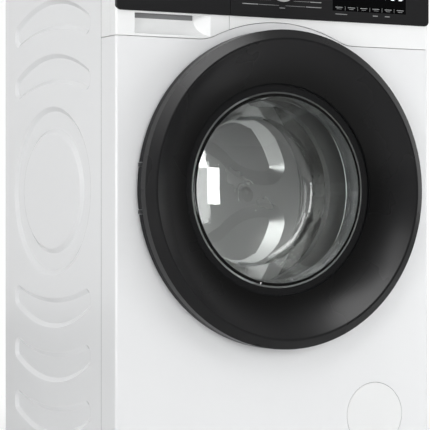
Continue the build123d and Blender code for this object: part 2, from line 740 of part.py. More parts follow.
with BuildPart() as worktop_frame:
    front = ahead(STRIP_STAND)
    block(-HALF, HALF, front, REAR_FACE, BODY_TOP, HEIGHT)
    fillet(worktop_frame.edges().filter_by(Axis.Z), CORNER_RADIUS)
    fillet(worktop_frame.faces().sort_by(Axis.Z)[-1].edges(), WORKTOP_EDGE)
    for rim, bottom in ((FRAME_RIM + BOARD_LEDGE, BODY_TOP), (FRAME_RIM, HEIGHT - BOARD_SHEET)):
        block(rim - HALF, HALF - rim, front + rim, REAR_FACE - rim, bottom, HEIGHT, Mode.SUBTRACT)

with BuildPart() as worktop_board:
    block(
        FRAME_RIM - HALF, HALF - FRAME_RIM, ahead(STRIP_STAND) + FRAME_RIM, REAR_FACE - FRAME_RIM,
        HEIGHT - BOARD_SHEET, HEIGHT,
    )

# Fascia and controls
with BuildPart() as control_panel:
    folded_front(FASCIA_WALL, BODY_TOP)
    block(
        -WIDTH, SPLIT_RIGHT, FRONT_Y - DEPTH, FRONT_Y + DRAWER_RETURN + SEAM_GAP,
        0, HEIGHT, Mode.SUBTRACT,
    )
    wall_y = FRONT_Y + BULKHEAD
    block(FASCIA_WALL - HALF, SPLIT_RIGHT + FASCIA_WALL, wall_y, wall_y + FASCIA_WALL, SEAM_Z, BODY_TOP)
    block(SPLIT_RIGHT, SPLIT_RIGHT + FASCIA_WALL, FRONT_Y, wall_y + FASCIA_WALL, SEAM_Z, BODY_TOP)
    for x in (-INNER_HALF, INNER_HALF - FASCIA_WALL):
        block(
            x, x + FASCIA_WALL, SIDE_FRONT - JOGGLE, SIDE_FRONT + JOGGLE,
            SEAM_Z + JOGGLE, BODY_TOP - JOGGLE,
        )
    extrude(seam_cut.sketch, amount=DEPTH, both=True, mode=Mode.SUBTRACT)
    block(
        TRAY_LEFT - TRAY_CLEAR, TRAY_RIGHT + TRAY_CLEAR, wall_y, wall_y + FASCIA_WALL,
        TRAY_BOTTOM - TRAY_CLEAR, TRAY_TOP + CAP_THICKNESS + TRAY_CLEAR, Mode.SUBTRACT,
    )
    disc(SHAFT_HOLE, FRONT_Y, FRONT_Y + FASCIA_WALL, Mode.SUBTRACT, (KNOB_X, KNOB_Z))

with BuildPart() as strip_blank:
    with BuildSketch(Plane.XZ.offset(STRIP_STAND - FRONT_Y)) as strip_face:
        with Locations((0, (STRIP_BOTTOM + STRIP_TOP) / 2)):
            Rectangle(WIDTH, STRIP_TOP - STRIP_BOTTOM)
        fillet(strip_face.vertices().group_by(Axis.Y)[0], STRIP_CORNER)
    extrude(strip_face.sketch, amount=-(STRIP_STAND + STRIP_LIP))
    fillet(strip_blank.faces().sort_by(Axis.Y)[0].edges(), STRIP_EDGE)
    with BuildSketch(Plane.XY.offset(SEAM_Z)) as front_plan:
        add(front_outline(0))
    extrude(front_plan.sketch, amount=HEIGHT - SEAM_Z, mode=Mode.SUBTRACT)

with BuildPart() as control_strip:
    add(strip_blank.part)
    block(-WIDTH, SPLIT_RIGHT, FRONT_Y - DEPTH, REAR_Y, 0, HEIGHT, Mode.SUBTRACT)
    disc(SHAFT_HOLE, ahead(STRIP_STAND), FRONT_Y, Mode.SUBTRACT, (KNOB_X, KNOB_Z))
    block(
        DISPLAY_LEFT, DISPLAY_LEFT + DISPLAY_WIDTH, ahead(STRIP_STAND), ahead(STRIP_STAND - DISPLAY_INSET),
        DISPLAY_BOTTOM, DISPLAY_BOTTOM + DISPLAY_HEIGHT, Mode.SUBTRACT,
    )

with BuildPart() as display_window:
    block(
        DISPLAY_LEFT, DISPLAY_LEFT + DISPLAY_WIDTH, ahead(STRIP_STAND), ahead(STRIP_STAND - DISPLAY_INSET),
        DISPLAY_BOTTOM, DISPLAY_BOTTOM + DISPLAY_HEIGHT,
    )

with BuildPart() as control_board:
    board_y = FRONT_Y + BOARD_FRONT
    block(
        BOARD_LEFT, BOARD_LEFT + BOARD_WIDTH, board_y, board_y + BOARD_THICKNESS,
        BOARD_BOTTOM, BOARD_BOTTOM + BOARD_HEIGHT,
    )
    for x in (BOARD_LEFT + 2 * BOARD_POST, BOARD_LEFT + BOARD_WIDTH - 2 * BOARD_POST):
        for z in (BOARD_BOTTOM + 2 * BOARD_POST, BOARD_BOTTOM + BOARD_HEIGHT - 2 * BOARD_POST):
            disc(BOARD_POST, FRONT_Y + FASCIA_WALL, board_y, Mode.ADD, (x, z))
    block(
        KNOB_X - SHAFT_HOLE, KNOB_X + SHAFT_HOLE, board_y - ENCODER_HEIGHT, board_y,
        KNOB_Z - SHAFT_HOLE, KNOB_Z + SHAFT_HOLE,
    )
    disc(ENCODER_SHAFT, KNOB_FACE + KNOB_CAP, board_y, Mode.ADD, (KNOB_X, KNOB_Z))

with BuildPart() as programme_knob:
    turned(
        [
            (0, KNOB_FACE),
            (KNOB_RADIUS - KNOB_CROWN, KNOB_FACE),
            (KNOB_RADIUS, KNOB_FACE + KNOB_CROWN),
            (KNOB_RADIUS, KNOB_BACK),
            (ENCODER_SHAFT + RUNNING_FIT, KNOB_BACK),
            (ENCODER_SHAFT + RUNNING_FIT, KNOB_FACE + KNOB_CAP - SEAM_GAP),
            (0, KNOB_FACE + KNOB_CAP - SEAM_GAP),
        ],
        Mode.ADD,
        (KNOB_X, KNOB_Z),
    )

# Detergent drawer and dispenser
with BuildPart() as grip_scoop:
    with BuildSketch(Plane.YZ.offset(GRIP_LEFT)) as scoop_side:
        with BuildLine() as outline:
            slope = ThreePointArc(
                (FRONT_Y, GRIP_BOTTOM),
                (FRONT_Y + GRIP_BELLY_DEPTH, GRIP_BELLY_Z),
                (FRONT_Y + GRIP_DEPTH, GRIP_SLOT_Z),
            )
            Polyline(
                slope @ 1,
                (FRONT_Y + GRIP_DEPTH, GRIP_POCKET_TOP),
                (FRONT_Y + GRIP_POCKET_LIP, GRIP_POCKET_TOP),
                (FRONT_Y + GRIP_POCKET_LIP, GRIP_TOP),
                (ahead(SHEET), GRIP_TOP),
                (ahead(SHEET), GRIP_BOTTOM),
                slope @ 0,
            )
        make_face(outline.edges())
    extrude(scoop_side.sketch, amount=GRIP_RIGHT - GRIP_LEFT)
    with BuildSketch(Plane.XY.offset(GRIP_BOTTOM - SHEET)) as scoop_plan:
        with BuildLine() as outline:
            Polyline(
                (GRIP_LEFT, ahead(SHEET)),
                (GRIP_RIGHT, ahead(SHEET)),
                (GRIP_RIGHT, FRONT_Y),
                (GRIP_RIGHT - GRIP_SLANT, FRONT_Y + GRIP_DEPTH + SHEET),
                (GRIP_LEFT, FRONT_Y + GRIP_DEPTH + SHEET),
                close=True,
            )
        make_face(outline.edges())
    extrude(scoop_plan.sketch, amount=GRIP_POCKET_TOP - GRIP_BOTTOM + 2 * SHEET, mode=Mode.INTERSECT)

with BuildPart() as drawer_front:
    folded_front(FASCIA_WALL, STRIP_TOP)
    block(-WIDTH, SPLIT_LEFT, FRONT_Y - DEPTH, FRONT_Y + DRAWER_RETURN, 0, HEIGHT, Mode.INTERSECT)
    block(
        GRIP_LEFT - GRIP_WALL, GRIP_RIGHT + GRIP_WALL, FRONT_Y, FRONT_Y + GRIP_DEPTH + GRIP_WALL,
        SEAM_Z, GRIP_POCKET_TOP + GRIP_WALL,
    )
    extrude(seam_cut.sketch, amount=DEPTH, both=True, mode=Mode.SUBTRACT)
    add(grip_scoop.part, mode=Mode.SUBTRACT)

with BuildPart() as drawer_strip:
    add(strip_blank.part)
    block(SPLIT_LEFT, WIDTH, FRONT_Y - DEPTH, REAR_Y, 0, HEIGHT, Mode.SUBTRACT)

with BuildPart() as drawer_tray:
    block(TRAY_LEFT, TRAY_RIGHT, TRAY_Y, TRAY_END, TRAY_BOTTOM, TRAY_TOP)
    for lane in range(LANES):
        left = TRAY_LEFT + TRAY_WALL + lane * LANE_PITCH
        block(
            left, left + LANE_PITCH - TRAY_WALL, TRAY_Y + TRAY_WALL, TRAY_END - TRAY_WALL,
            TRAY_BOTTOM + TRAY_WALL, TRAY_TOP, Mode.SUBTRACT,
        )

with BuildPart() as siphon_cap:
    block(
        TRAY_LEFT, TRAY_LEFT + LANE_PITCH + TRAY_WALL, TRAY_END - CAP_LENGTH, TRAY_END,
        TRAY_TOP, TRAY_TOP + CAP_THICKNESS,
    )
    siphon_x = TRAY_LEFT + (LANE_PITCH + TRAY_WALL) / 2
    siphon_y = TRAY_END - CAP_LENGTH / 2
    post(siphon_x, siphon_y, SHAFT_HOLE, TRAY_BOTTOM + 2 * TRAY_WALL, TRAY_TOP)

with BuildPart() as dispenser_housing:
    outer_left = TRAY_LEFT - HOUSING_SIDE_CLEAR - HOUSING_WALL
    outer_right = TRAY_RIGHT + HOUSING_SIDE_CLEAR + HOUSING_WALL
    housing_y = FRONT_Y + BULKHEAD + FASCIA_WALL
    block(outer_left, outer_right, housing_y, HOUSING_END, HOUSING_BOTTOM, HOUSING_TOP)
    block(
        outer_left + HOUSING_WALL, outer_right - HOUSING_WALL, housing_y, HOUSING_END - HOUSING_WALL,
        HOUSING_BOTTOM + HOUSING_WALL, HOUSING_TOP - HOUSING_WALL, Mode.SUBTRACT,
    )
    for x in (TRAY_LEFT, TRAY_RIGHT - RAIL_WIDTH):
        block(
            x, x + RAIL_WIDTH, housing_y, HOUSING_END - HOUSING_WALL,
            HOUSING_BOTTOM + HOUSING_WALL, TRAY_BOTTOM - RAIL_CLEAR,
        )
    post(DISPENSER_X, DISPENSER_Y, SPIGOT_RADIUS, DISPENSER_LOW, HOUSING_BOTTOM)
    post(
        DISPENSER_X, DISPENSER_Y, SPIGOT_RADIUS - SPIGOT_WALL, DISPENSER_LOW,
        HOUSING_BOTTOM + HOUSING_WALL, Mode.SUBTRACT,
    )
    fill_axis = (FILL_X, INLET_Z)
    fill_end = HOUSING_END + FILL_TAIL
    disc(FILL_RADIUS, HOUSING_END, fill_end, Mode.ADD, fill_axis)
    disc(FILL_RADIUS - SPIGOT_WALL, HOUSING_END - HOUSING_WALL, fill_end, Mode.SUBTRACT, fill_axis)

with BuildPart() as inlet_valve:
    block(
        INLET_X - INLET_FLANGE / 2, INLET_X + INLET_FLANGE / 2, REAR_FACE, REAR_FACE + HOUSING_WALL,
        INLET_Z - INLET_FLANGE / 2, INLET_Z + INLET_FLANGE / 2,
    )
    disc(INLET_RADIUS, REAR_FACE, REAR_END, Mode.ADD, (INLET_X, INLET_Z))
    disc(VALVE_NECK, REAR_Y - VALVE_NECK_LENGTH, REAR_FACE, Mode.ADD, (INLET_X, INLET_Z))
    block(
        INLET_X - VALVE_HALF, INLET_X + VALVE_HALF, REAR_Y - VALVE_LENGTH, REAR_Y - VALVE_NECK_LENGTH,
        INLET_Z - VALVE_HALF, INLET_Z + VALVE_HALF,
    )
    valve_y = REAR_Y - VALVE_LENGTH
    disc(FILL_RADIUS, valve_y - FILL_TAIL, valve_y, Mode.ADD, (INLET_X, INLET_Z))
    disc(INLET_BORE, REAR_Y - VALVE_NECK_LENGTH, REAR_END, Mode.SUBTRACT, (INLET_X, INLET_Z))

with BuildPart() as fill_hose:
    hose(
        [
            (INLET_X, REAR_Y - VALVE_LENGTH - SEAM_GAP, INLET_Z),
            (INLET_X, FILL_RUN_Y, INLET_Z),
            (FILL_X, FILL_RUN_Y, INLET_Z),
            (FILL_X, HOUSING_END + SEAM_GAP, INLET_Z),
        ],
        FILL_RADIUS,
    )

with BuildPart() as dispenser_hose:
    bellows(DISPENSER_X, DISPENSER_Y, TUB_INLET_TOP - HOSE_GRIP, DISPENSER_LOW + HOSE_GRIP, SPIGOT_RADIUS)

# Door
with BuildSketch(Plane((0, 0, PORT_Z))) as door_profile:
    with BuildLine() as outline:
        dish = ThreePointArc(
            (DISH_CREST_RADIUS - DOOR_CREST_FLAT / 2, ahead(DOOR_STAND)),
            (DISH_MIDDLE_RADIUS, ahead(DISH_MIDDLE_STAND)),
            (GLASS_SEEN_RADIUS, ahead(DISH_INNER_STAND)),
        )
        centre = dish.arc_center
        lining_radius = dish.radius + DOOR_WALL
        lining_start = centre + (dish @ 0 - centre).normalized() * lining_radius
        lining_middle = centre + (dish @ 0.5 - centre).normalized() * lining_radius
        seat_rise = sqrt(lining_radius**2 - (FRAME_SEAT_RADIUS - centre.X) ** 2)
        lining = ThreePointArc(lining_start, lining_middle, (FRAME_SEAT_RADIUS, centre.Y + seat_rise))
        Polyline(
            dish @ 1,
            (GLASS_SEEN_RADIUS, ahead(DOOR_BACK)),
            (FRAME_SEAT_RADIUS, ahead(DOOR_BACK)),
            lining @ 1,
        )
        Polyline(
            lining @ 0,
            (DOOR_RADIUS - DOOR_WALL, ahead(DOOR_BEVEL_START - DOOR_WALL / 2)),
            (DOOR_RADIUS - DOOR_WALL, ahead(DOOR_SPLIT + SEAM_GAP / 2)),
            (DOOR_RADIUS, ahead(DOOR_SPLIT + SEAM_GAP / 2)),
            (DOOR_RADIUS, ahead(DOOR_BEVEL_START)),
            (DISH_CREST_RADIUS + DOOR_CREST_FLAT / 2, ahead(DOOR_STAND)),
            dish @ 0,
        )
    make_face(outline.edges())
    crest = door_profile.vertices().group_by(Axis.Y)[0]
    fillet(crest, DOOR_CREST_ROUND)

with BuildPart() as hinge_slits:
    for z in (PORT_Z - HINGE_ARM_OFFSET, PORT_Z + HINGE_ARM_OFFSET):
        reach = HINGE_ARM_HEIGHT / 2 + HINGE_SLIT_CLEAR
        block(
            -DOOR_RADIUS - SHEET, HINGE_X + HINGE_FOOT_OUT + 4 * HINGE_SLIT_CLEAR,
            ahead(DOOR_SPLIT + DOOR_TONGUE + SHEET), FRONT_Y, z - reach, z + reach,
        )

with BuildPart() as door_front_frame:
    revolve(door_profile.sketch, axis=Axis((0, 0, PORT_Z), (0, 1, 0)))

with BuildPart() as door_back_frame:
    turned(
        [
            (FRAME_SEAT_RADIUS, ahead(DOOR_BACK)),
            (DOOR_RADIUS - DOOR_CHAMFER, ahead(DOOR_BACK)),
            (DOOR_RADIUS, ahead(DOOR_BACK + DOOR_CHAMFER)),
            (DOOR_RADIUS, ahead(DOOR_SPLIT - SEAM_GAP / 2)),
            (DOOR_RADIUS - DOOR_WALL, ahead(DOOR_SPLIT - SEAM_GAP / 2)),
            (DOOR_RADIUS - DOOR_WALL, ahead(DOOR_SPLIT + DOOR_TONGUE)),
            (DOOR_RADIUS - 2 * DOOR_WALL, ahead(DOOR_SPLIT + DOOR_TONGUE)),
            (DOOR_RADIUS - 2 * DOOR_WALL, ahead(DOOR_BACK + DOOR_WALL)),
            (FRAME_SEAT_RADIUS, ahead(DOOR_BACK + DOOR_WALL)),
        ]
    )
    turned(
        [
            (GLASS_FLANGE_RADIUS, ahead(DOOR_BACK)),
            (RETAINER_OUTER, ahead(DOOR_BACK)),
            (RETAINER_OUTER, ahead(DOOR_BACK - GLASS_FLANGE - RETAINER_SHEET)),
            (RETAINER_INNER, ahead(DOOR_BACK - GLASS_FLANGE - RETAINER_SHEET)),
            (RETAINER_INNER, ahead(DOOR_BACK - GLASS_FLANGE)),
            (GLASS_FLANGE_RADIUS, ahead(DOOR_BACK - GLASS_FLANGE)),
        ]
    )
    add(hinge_slits.part, mode=Mode.SUBTRACT)
    block(
        HOOK_X - LOCK_SLOT_LEFT, HOOK_X + LOCK_SLOT_RIGHT, ahead(DOOR_BACK + DOOR_WALL), ahead(DOOR_BACK),
        PORT_Z - HOOK_LUG_Z, PORT_Z + HOOK_LUG_Z, Mode.SUBTRACT,
    )
    for z in (PORT_Z - HOOK_LUG_Z - LUG_WIDTH, PORT_Z + HOOK_LUG_Z):
        block(
            HOOK_X - HOOK_KNUCKLE, HOOK_X + HOOK_KNUCKLE, ahead(HOOK_PIVOT_STAND + HOOK_KNUCKLE),
            ahead(DOOR_BACK), z, z + LUG_WIDTH,
        )
    lug_end = HOOK_LUG_Z + LUG_WIDTH
    post(HOOK_X, ahead(HOOK_PIVOT_STAND), HOOK_PIN_RADIUS, PORT_Z - lug_end, PORT_Z + lug_end)
    block(
        DOOR_RADIUS - POCKET_WIDTH, DOOR_RADIUS + SHEET, ahead(DOOR_SPLIT + DOOR_TONGUE), FRONT_Y,
        PORT_Z - POCKET_DROP - POCKET_HEIGHT, PORT_Z - POCKET_DROP, Mode.SUBTRACT,
    )

with BuildPart() as door_glass:
    with BuildSketch(Plane((0, 0, PORT_Z))) as glass_profile:
        with BuildLine() as outline:
            side = Polyline(
                (BOWL_END_RADIUS, FRONT_Y + BOWL_DEPTH - BOWL_DOME),
                (BOWL_NECK_RADIUS, FRONT_Y + BOWL_NECK_DEPTH),
                (BOWL_MOUTH_RADIUS, ahead(DOOR_BACK - GLASS_FLANGE)),
                (GLASS_FLANGE_RADIUS, ahead(DOOR_BACK - GLASS_FLANGE)),
                (GLASS_FLANGE_RADIUS, ahead(DOOR_BACK)),
                (BOWL_MOUTH_RADIUS - GLASS_WALL, ahead(DOOR_BACK)),
                (BOWL_NECK_RADIUS - GLASS_WALL, FRONT_Y + BOWL_NECK_DEPTH),
                (BOWL_END_RADIUS - GLASS_WALL, FRONT_Y + BOWL_DEPTH - BOWL_DOME - GLASS_WALL),
            )
            outer_dome = TangentArc((0, FRONT_Y + BOWL_DEPTH), side @ 0, tangent=(1, 0))
            inner_dome = TangentArc((0, FRONT_Y + BOWL_DEPTH - GLASS_WALL), side @ 1, tangent=(1, 0))
            Line(outer_dome @ 0, inner_dome @ 0)
        make_face(outline.edges())
        for wall in (0, GLASS_WALL):
            bend = BOWL_END_RADIUS - wall
            corner = glass_profile.vertices().filter_by(lambda v: abs(v.X - bend) < SHEET)
            fillet(corner, BOWL_ROUND - wall)
    revolve(glass_profile.sketch, axis=Axis((0, 0, PORT_Z), (0, 1, 0)))

with BuildPart() as glass_trim_ring:
    tube(GLASS_SEEN_RADIUS, GLASS_SEEN_RADIUS - TRIM_RING, ahead(DOOR_BACK + TRIM_STAND), ahead(DOOR_BACK))

with BuildPart() as hinge_bracket:
    foot_right = HINGE_X + HINGE_FOOT_OUT
    block(
        foot_right - HINGE_ARM, -RETAINER_OUTER - HINGE_PLATE_GAP, ahead(HINGE_PLATE), FRONT_Y,
        PORT_Z - HINGE_PLATE_HALF, PORT_Z + HINGE_PLATE_HALF,
    )
    for z in (PORT_Z - HINGE_ARM_OFFSET, PORT_Z + HINGE_ARM_OFFSET):
        with BuildSketch(Plane.XY.offset(z - HINGE_ARM_HEIGHT / 2)) as arm:
            with BuildLine() as outline:
                Polyline(
                    (HINGE_X - PIN_RADIUS, HINGE_Y - HINGE_ARM / 2),
                    (HINGE_X + HINGE_ELBOW, HINGE_Y - HINGE_ARM / 2),
                    (foot_right, HINGE_Y + HINGE_PLATE),
                    (foot_right, ahead(HINGE_PLATE)),
                    (foot_right - HINGE_ARM, ahead(HINGE_PLATE)),
                    (foot_right - HINGE_ARM, HINGE_Y + HINGE_PLATE),
                    (HINGE_X + PIN_RADIUS, HINGE_Y + HINGE_BOSS - HINGE_PLATE),
                    close=True,
                )
            make_face(outline.edges())
            with Locations((HINGE_X, HINGE_Y)):
                Circle(HINGE_BOSS)
        extrude(arm.sketch, amount=HINGE_ARM_HEIGHT)
        block(
            HINGE_BLOCK_LEFT - DOOR_RADIUS, foot_right - HINGE_ARM, ahead(HINGE_PLATE), FRONT_Y,
            z - HINGE_ARM_HEIGHT / 2, z + HINGE_ARM_HEIGHT / 2,
        )
    pin_half = HINGE_ARM_OFFSET + HINGE_ARM_HEIGHT
    post(HINGE_X, HINGE_Y, PIN_RADIUS, PORT_Z - pin_half, PORT_Z + pin_half)

with BuildPart() as hinge_block:
    block_half = HINGE_ARM_OFFSET - HINGE_ARM_HEIGHT / 2 - 2 * HINGE_SLIT_CLEAR
    block(
        HINGE_X - HINGE_BLOCK_LEFT, HINGE_X + HINGE_BLOCK_RIGHT,
        ahead(HINGE_BLOCK_TOP), ahead(DOOR_BACK + DOOR_WALL), PORT_Z - block_half, PORT_Z + block_half,
    )
    post(HINGE_X, HINGE_Y, PIN_RADIUS + RUNNING_FIT, 0, HEIGHT, Mode.SUBTRACT)

with BuildPart() as door_hook:
    with BuildSketch(Plane.XY.offset(PORT_Z - HOOK_HALF_HEIGHT)) as hook_side:
        tip = FRONT_Y + HOOK_REACH
        with BuildLine() as outline:
            Polyline(
                (HOOK_X - HOOK_SHANK / 2, ahead(HOOK_PIVOT_STAND)),
                (HOOK_X + HOOK_SHANK / 2, ahead(HOOK_PIVOT_STAND)),
                (HOOK_X + HOOK_SHANK / 2, tip - 2 * HOOK_BARB),
                (HOOK_X + HOOK_SHANK / 2 + HOOK_BARB, tip - HOOK_BARB),
                (HOOK_X + HOOK_SHANK / 2, tip),
                (HOOK_X - HOOK_SHANK / 2, tip),
                close=True,
            )
        make_face(outline.edges())
        with Locations((HOOK_X, ahead(HOOK_PIVOT_STAND))):
            Circle(HOOK_KNUCKLE)
            Circle(HOOK_PIN_RADIUS + RUNNING_FIT, mode=Mode.SUBTRACT)
    extrude(hook_side.sketch, amount=2 * HOOK_HALF_HEIGHT)

with BuildPart() as door_lock:
    lock_left = HOOK_X - LOCK_SLOT_LEFT - LOCK_WALL
    lock_right = HOOK_X + LOCK_SLOT_RIGHT + LOCK_WALL
    lock_y = FRONT_Y + SHEET
    block(
        lock_left, lock_right, lock_y, FRONT_Y + LOCK_DEPTH,
        PORT_Z - LOCK_HALF_HEIGHT, PORT_Z + LOCK_HALF_HEIGHT,
    )
    block(
        lock_left + LOCK_WALL, lock_right - LOCK_WALL, lock_y, FRONT_Y + LOCK_DEPTH - LOCK_WALL,
        PORT_Z - LOCK_SLOT_HALF, PORT_Z + LOCK_SLOT_HALF, Mode.SUBTRACT,
    )

# Gasket
with BuildPart() as door_gasket:
    lip_end = FRONT_Y + PORT_LIP
    neck_y = TUB_FRONT_Y - NECK_LENGTH
    fold_y = (lip_end + neck_y) / 2
    grip_end = neck_y + GASKET_GRIP
    turned(
        [
            (PORT_RADIUS, FRONT_Y + SHEET),
            (PORT_RADIUS, lip_end),
            (PORT_RADIUS - GASKET_FOLD + GASKET_WALL, fold_y - GASKET_WALL),
            (PORT_RADIUS - GASKET_FOLD + GASKET_WALL, fold_y + GASKET_WALL),
            (NECK_INNER, neck_y),
            (NECK_INNER, grip_end),
            (NECK_INNER - GASKET_WALL, grip_end),
            (NECK_INNER - GASKET_WALL, neck_y + GASKET_WALL),
            (PORT_RADIUS - GASKET_FOLD, fold_y + 2 * GASKET_WALL),
            (PORT_RADIUS - GASKET_FOLD, fold_y - 2 * GASKET_WALL),
            (PORT_RADIUS - GASKET_WALL, lip_end - GASKET_WALL),
            (PORT_RADIUS - GASKET_WALL, FRONT_Y + SHEET),
        ]
    )

# Tub
with BuildPart() as tub_front:
    tube(TUB_RADIUS, TUB_INNER, TUB_FRONT_Y, TUB_SPLIT_Y)
    tube(TUB_RADIUS, NECK_INNER, TUB_FRONT_Y, TUB_FRONT_Y + TUB_WALL)
    tube(NECK_INNER + NECK_WALL, NECK_INNER, TUB_FRONT_Y - NECK_LENGTH, TUB_FRONT_Y)
    tube(TUB_RADIUS + TUB_FLANGE, TUB_INNER, TUB_SPLIT_Y - TUB_FLANGE, TUB_SPLIT_Y)
    post(SUMP_X, SUMP_Y, SPIGOT_RADIUS, SUMP_SPIGOT_LOW, PORT_Z)
    post(DISPENSER_X, DISPENSER_Y, SPIGOT_RADIUS, PORT_Z, TUB_INLET_TOP)
    disc(TUB_INNER, TUB_FRONT_Y + TUB_WALL, TUB_SPLIT_Y, Mode.SUBTRACT)
    post(SUMP_X, SUMP_Y, SPIGOT_RADIUS - SPIGOT_WALL, SUMP_SPIGOT_LOW, PORT_Z, Mode.SUBTRACT)
    post(DISPENSER_X, DISPENSER_Y, SPIGOT_RADIUS - SPIGOT_WALL, PORT_Z, TUB_INLET_TOP, Mode.SUBTRACT)

with BuildPart() as tub_rear:
    tube(TUB_RADIUS, TUB_INNER, TUB_SPLIT_Y, TUB_REAR_Y)
    tube(TUB_RADIUS + TUB_FLANGE, TUB_INNER, TUB_SPLIT_Y, TUB_SPLIT_Y + TUB_FLANGE)
    for x in (-SPRING_X, SPRING_X):
        lug_ends = sorted((0, x + SPRING_RADIUS * x / SPRING_X))
        block(
            *lug_ends, SPRING_Y - SPRING_LUG, SPRING_Y + SPRING_LUG,
            SPRING_FOOT_Z - SPRING_LUG, SPRING_FOOT_Z,
        )
    for x in (-DAMPER_X, DAMPER_X):
        block(
            x - SPRING_LUG, x + SPRING_LUG, DAMPER_Y - SPRING_LUG, DAMPER_Y + SPRING_LUG,
            DAMPER_EYE_Z, PORT_Z,
        )
    for y in EAR_ROWS:
        block(-MOTOR_EAR_HALF, MOTOR_EAR_HALF, y, y + EAR_THICKNESS, MOTOR_EAR_TOP, PORT_Z - DRUM_RADIUS)
    disc(TUB_INNER, TUB_SPLIT_Y, TUB_REAR_Y, Mode.SUBTRACT)
    disc(TUB_RADIUS, TUB_REAR_Y - TUB_WALL, TUB_REAR_Y)
    disc(HUB_RADIUS, HUB_START, BEARING_2_END)
    disc(BEARING_FRONT_RADIUS, HUB_START, BEARING_1_END, Mode.SUBTRACT)
    disc(BEARING_REAR_RADIUS - BEARING_GAP, BEARING_1_END, BEARING_2_START, Mode.SUBTRACT)
    disc(BEARING_REAR_RADIUS, BEARING_2_START, BEARING_2_END, Mode.SUBTRACT)
    block(
        -PLUG_HALF_WIDTH, PLUG_HALF_WIDTH, TUB_REAR_Y - TUB_WALL, TUB_REAR_Y,
        HEATER_Z - PLUG_HALF_HEIGHT, HEATER_Z + PLUG_HALF_HEIGHT, Mode.SUBTRACT,
    )

with BuildPart() as counterweights:
    tube(WEIGHT_OUTER, WEIGHT_INNER, TUB_FRONT_Y - WEIGHT_DEPTH, TUB_FRONT_Y)
    with BuildSketch(Plane.XZ) as wedges:
        for start in (WEIGHT_START, WEIGHT_START + HALF_TURN):
            with BuildLine() as outline:
                Polyline(
                    (0, PORT_Z),
                    polar(WIDTH, start),
                    polar(WIDTH, start + WEIGHT_SWEEP / 2),
                    polar(WIDTH, start + WEIGHT_SWEEP),
                    close=True,
                )
            make_face(outline.edges())
    extrude(wedges.sketch, amount=DEPTH, both=True, mode=Mode.INTERSECT)

with BuildPart() as heater:
    with BuildLine() as element:
        FilletPolyline(
            (-HEATER_HALF, TUB_REAR_Y + HEATER_TAIL, HEATER_Z),
            (-HEATER_HALF, DRUM_FRONT_Y + HEATER_HALF, HEATER_Z),
            (HEATER_HALF, DRUM_FRONT_Y + HEATER_HALF, HEATER_Z),
            (HEATER_HALF, TUB_REAR_Y + HEATER_TAIL, HEATER_Z),
            radius=HEATER_HALF - HEATER_RADIUS / 2,
        )
    with BuildSketch(Plane(element.line @ 0, z_dir=element.line % 0)) as element_ring:
        Circle(HEATER_RADIUS)
    sweep(element_ring.sketch, path=element.line)
    block(
        -PLUG_HALF_WIDTH, PLUG_HALF_WIDTH, TUB_REAR_Y - TUB_WALL, TUB_REAR_Y + PLUG_STAND,
        HEATER_Z - PLUG_HALF_HEIGHT, HEATER_Z + PLUG_HALF_HEIGHT,
    )

# Drum and drive
with BuildPart() as drum_shell:
    tube(DRUM_RADIUS, DRUM_INNER, DRUM_FRONT_Y, DRUM_BACK_Y)

with BuildPart() as drum_front_ring:
    tube(DRUM_RADIUS, DRUM_MOUTH, DRUM_FRONT_Y - DRUM_SHEET, DRUM_FRONT_Y)
    tube(DRUM_MOUTH + DRUM_SHEET, DRUM_MOUTH, DRUM_FRONT_Y, DRUM_FRONT_Y + DRUM_LIP)

with BuildPart() as drum_back_plate:
    plate_y = DRUM_BACK_Y - DRUM_SHEET
    disc(DRUM_INNER, plate_y, DRUM_BACK_Y)
    deep = PETAL_DEPTH + DRUM_SHEET
    for grow, depth, mode in ((DRUM_SHEET, deep, Mode.ADD), (0, PETAL_DEPTH, Mode.SUBTRACT)):
        for index in range(ARMS):
            with BuildSketch(Plane((0, plate_y, 0), x_dir=(-1, 0, 0), z_dir=(0, 1, 0))) as recess:
                add(petal(index * 360 / ARMS, grow))
            extrude(recess.sketch, amount=depth, taper=PETAL_TAPER, mode=mode)

with BuildPart() as drum_lifters:
    for index in range(ARMS):
        angle = index * 360 / ARMS + LIFTER_ANGLE
        with BuildSketch(Plane.XZ.offset(-DRUM_FRONT_Y - LIFTER_END_GAP)) as lifter_end:
            with Locations(Location((0, PORT_Z), angle)):
                with BuildSketch(mode=Mode.PRIVATE) as lifter_shape:
                    with BuildLine() as outline:
                        Polyline(
                            (DRUM_RADIUS, -LIFTER_BASE / 2),
                            (DRUM_INNER - LIFTER_HEIGHT, -LIFTER_TOP / 2),
                            (DRUM_INNER - LIFTER_HEIGHT, LIFTER_TOP / 2),
                            (DRUM_RADIUS, LIFTER_BASE / 2),
                            close=True,
                        )
                    make_face(outline.edges())
                    fillet(lifter_shape.vertices().group_by(Axis.X)[0], LIFTER_ROUND)
                add(lifter_shape.sketch)
        extrude(lifter_end.sketch, amount=-(DRUM_BACK_Y - DRUM_FRONT_Y - 2 * LIFTER_END_GAP - DRUM_LIP))
    disc(DRUM_INNER, DRUM_FRONT_Y, DRUM_BACK_Y, Mode.INTERSECT)

with BuildPart() as drum_spider:
    disc(SPIDER_HUB, DRUM_BACK_Y, SPIDER_Y)
    for index in range(ARMS):
        angle = index * 360 / ARMS
        x, z = polar(SPIDER_REACH / 2, angle)
        with Locations(Location((x, DRUM_BACK_Y + SPIDER_THICKNESS / 2, z), (0, -angle, 0))):
            Box(SPIDER_REACH, SPIDER_THICKNESS, SPIDER_ARM)
    disc(SHAFT_FRONT_RADIUS, DRUM_BACK_Y, BEARING_1_END)
    disc(SHAFT_REAR_RADIUS, BEARING_1_END, BEARING_2_END + PULLEY_GAP)
    disc(SHAFT_END_RADIUS, BEARING_2_END + PULLEY_GAP, PULLEY_END)

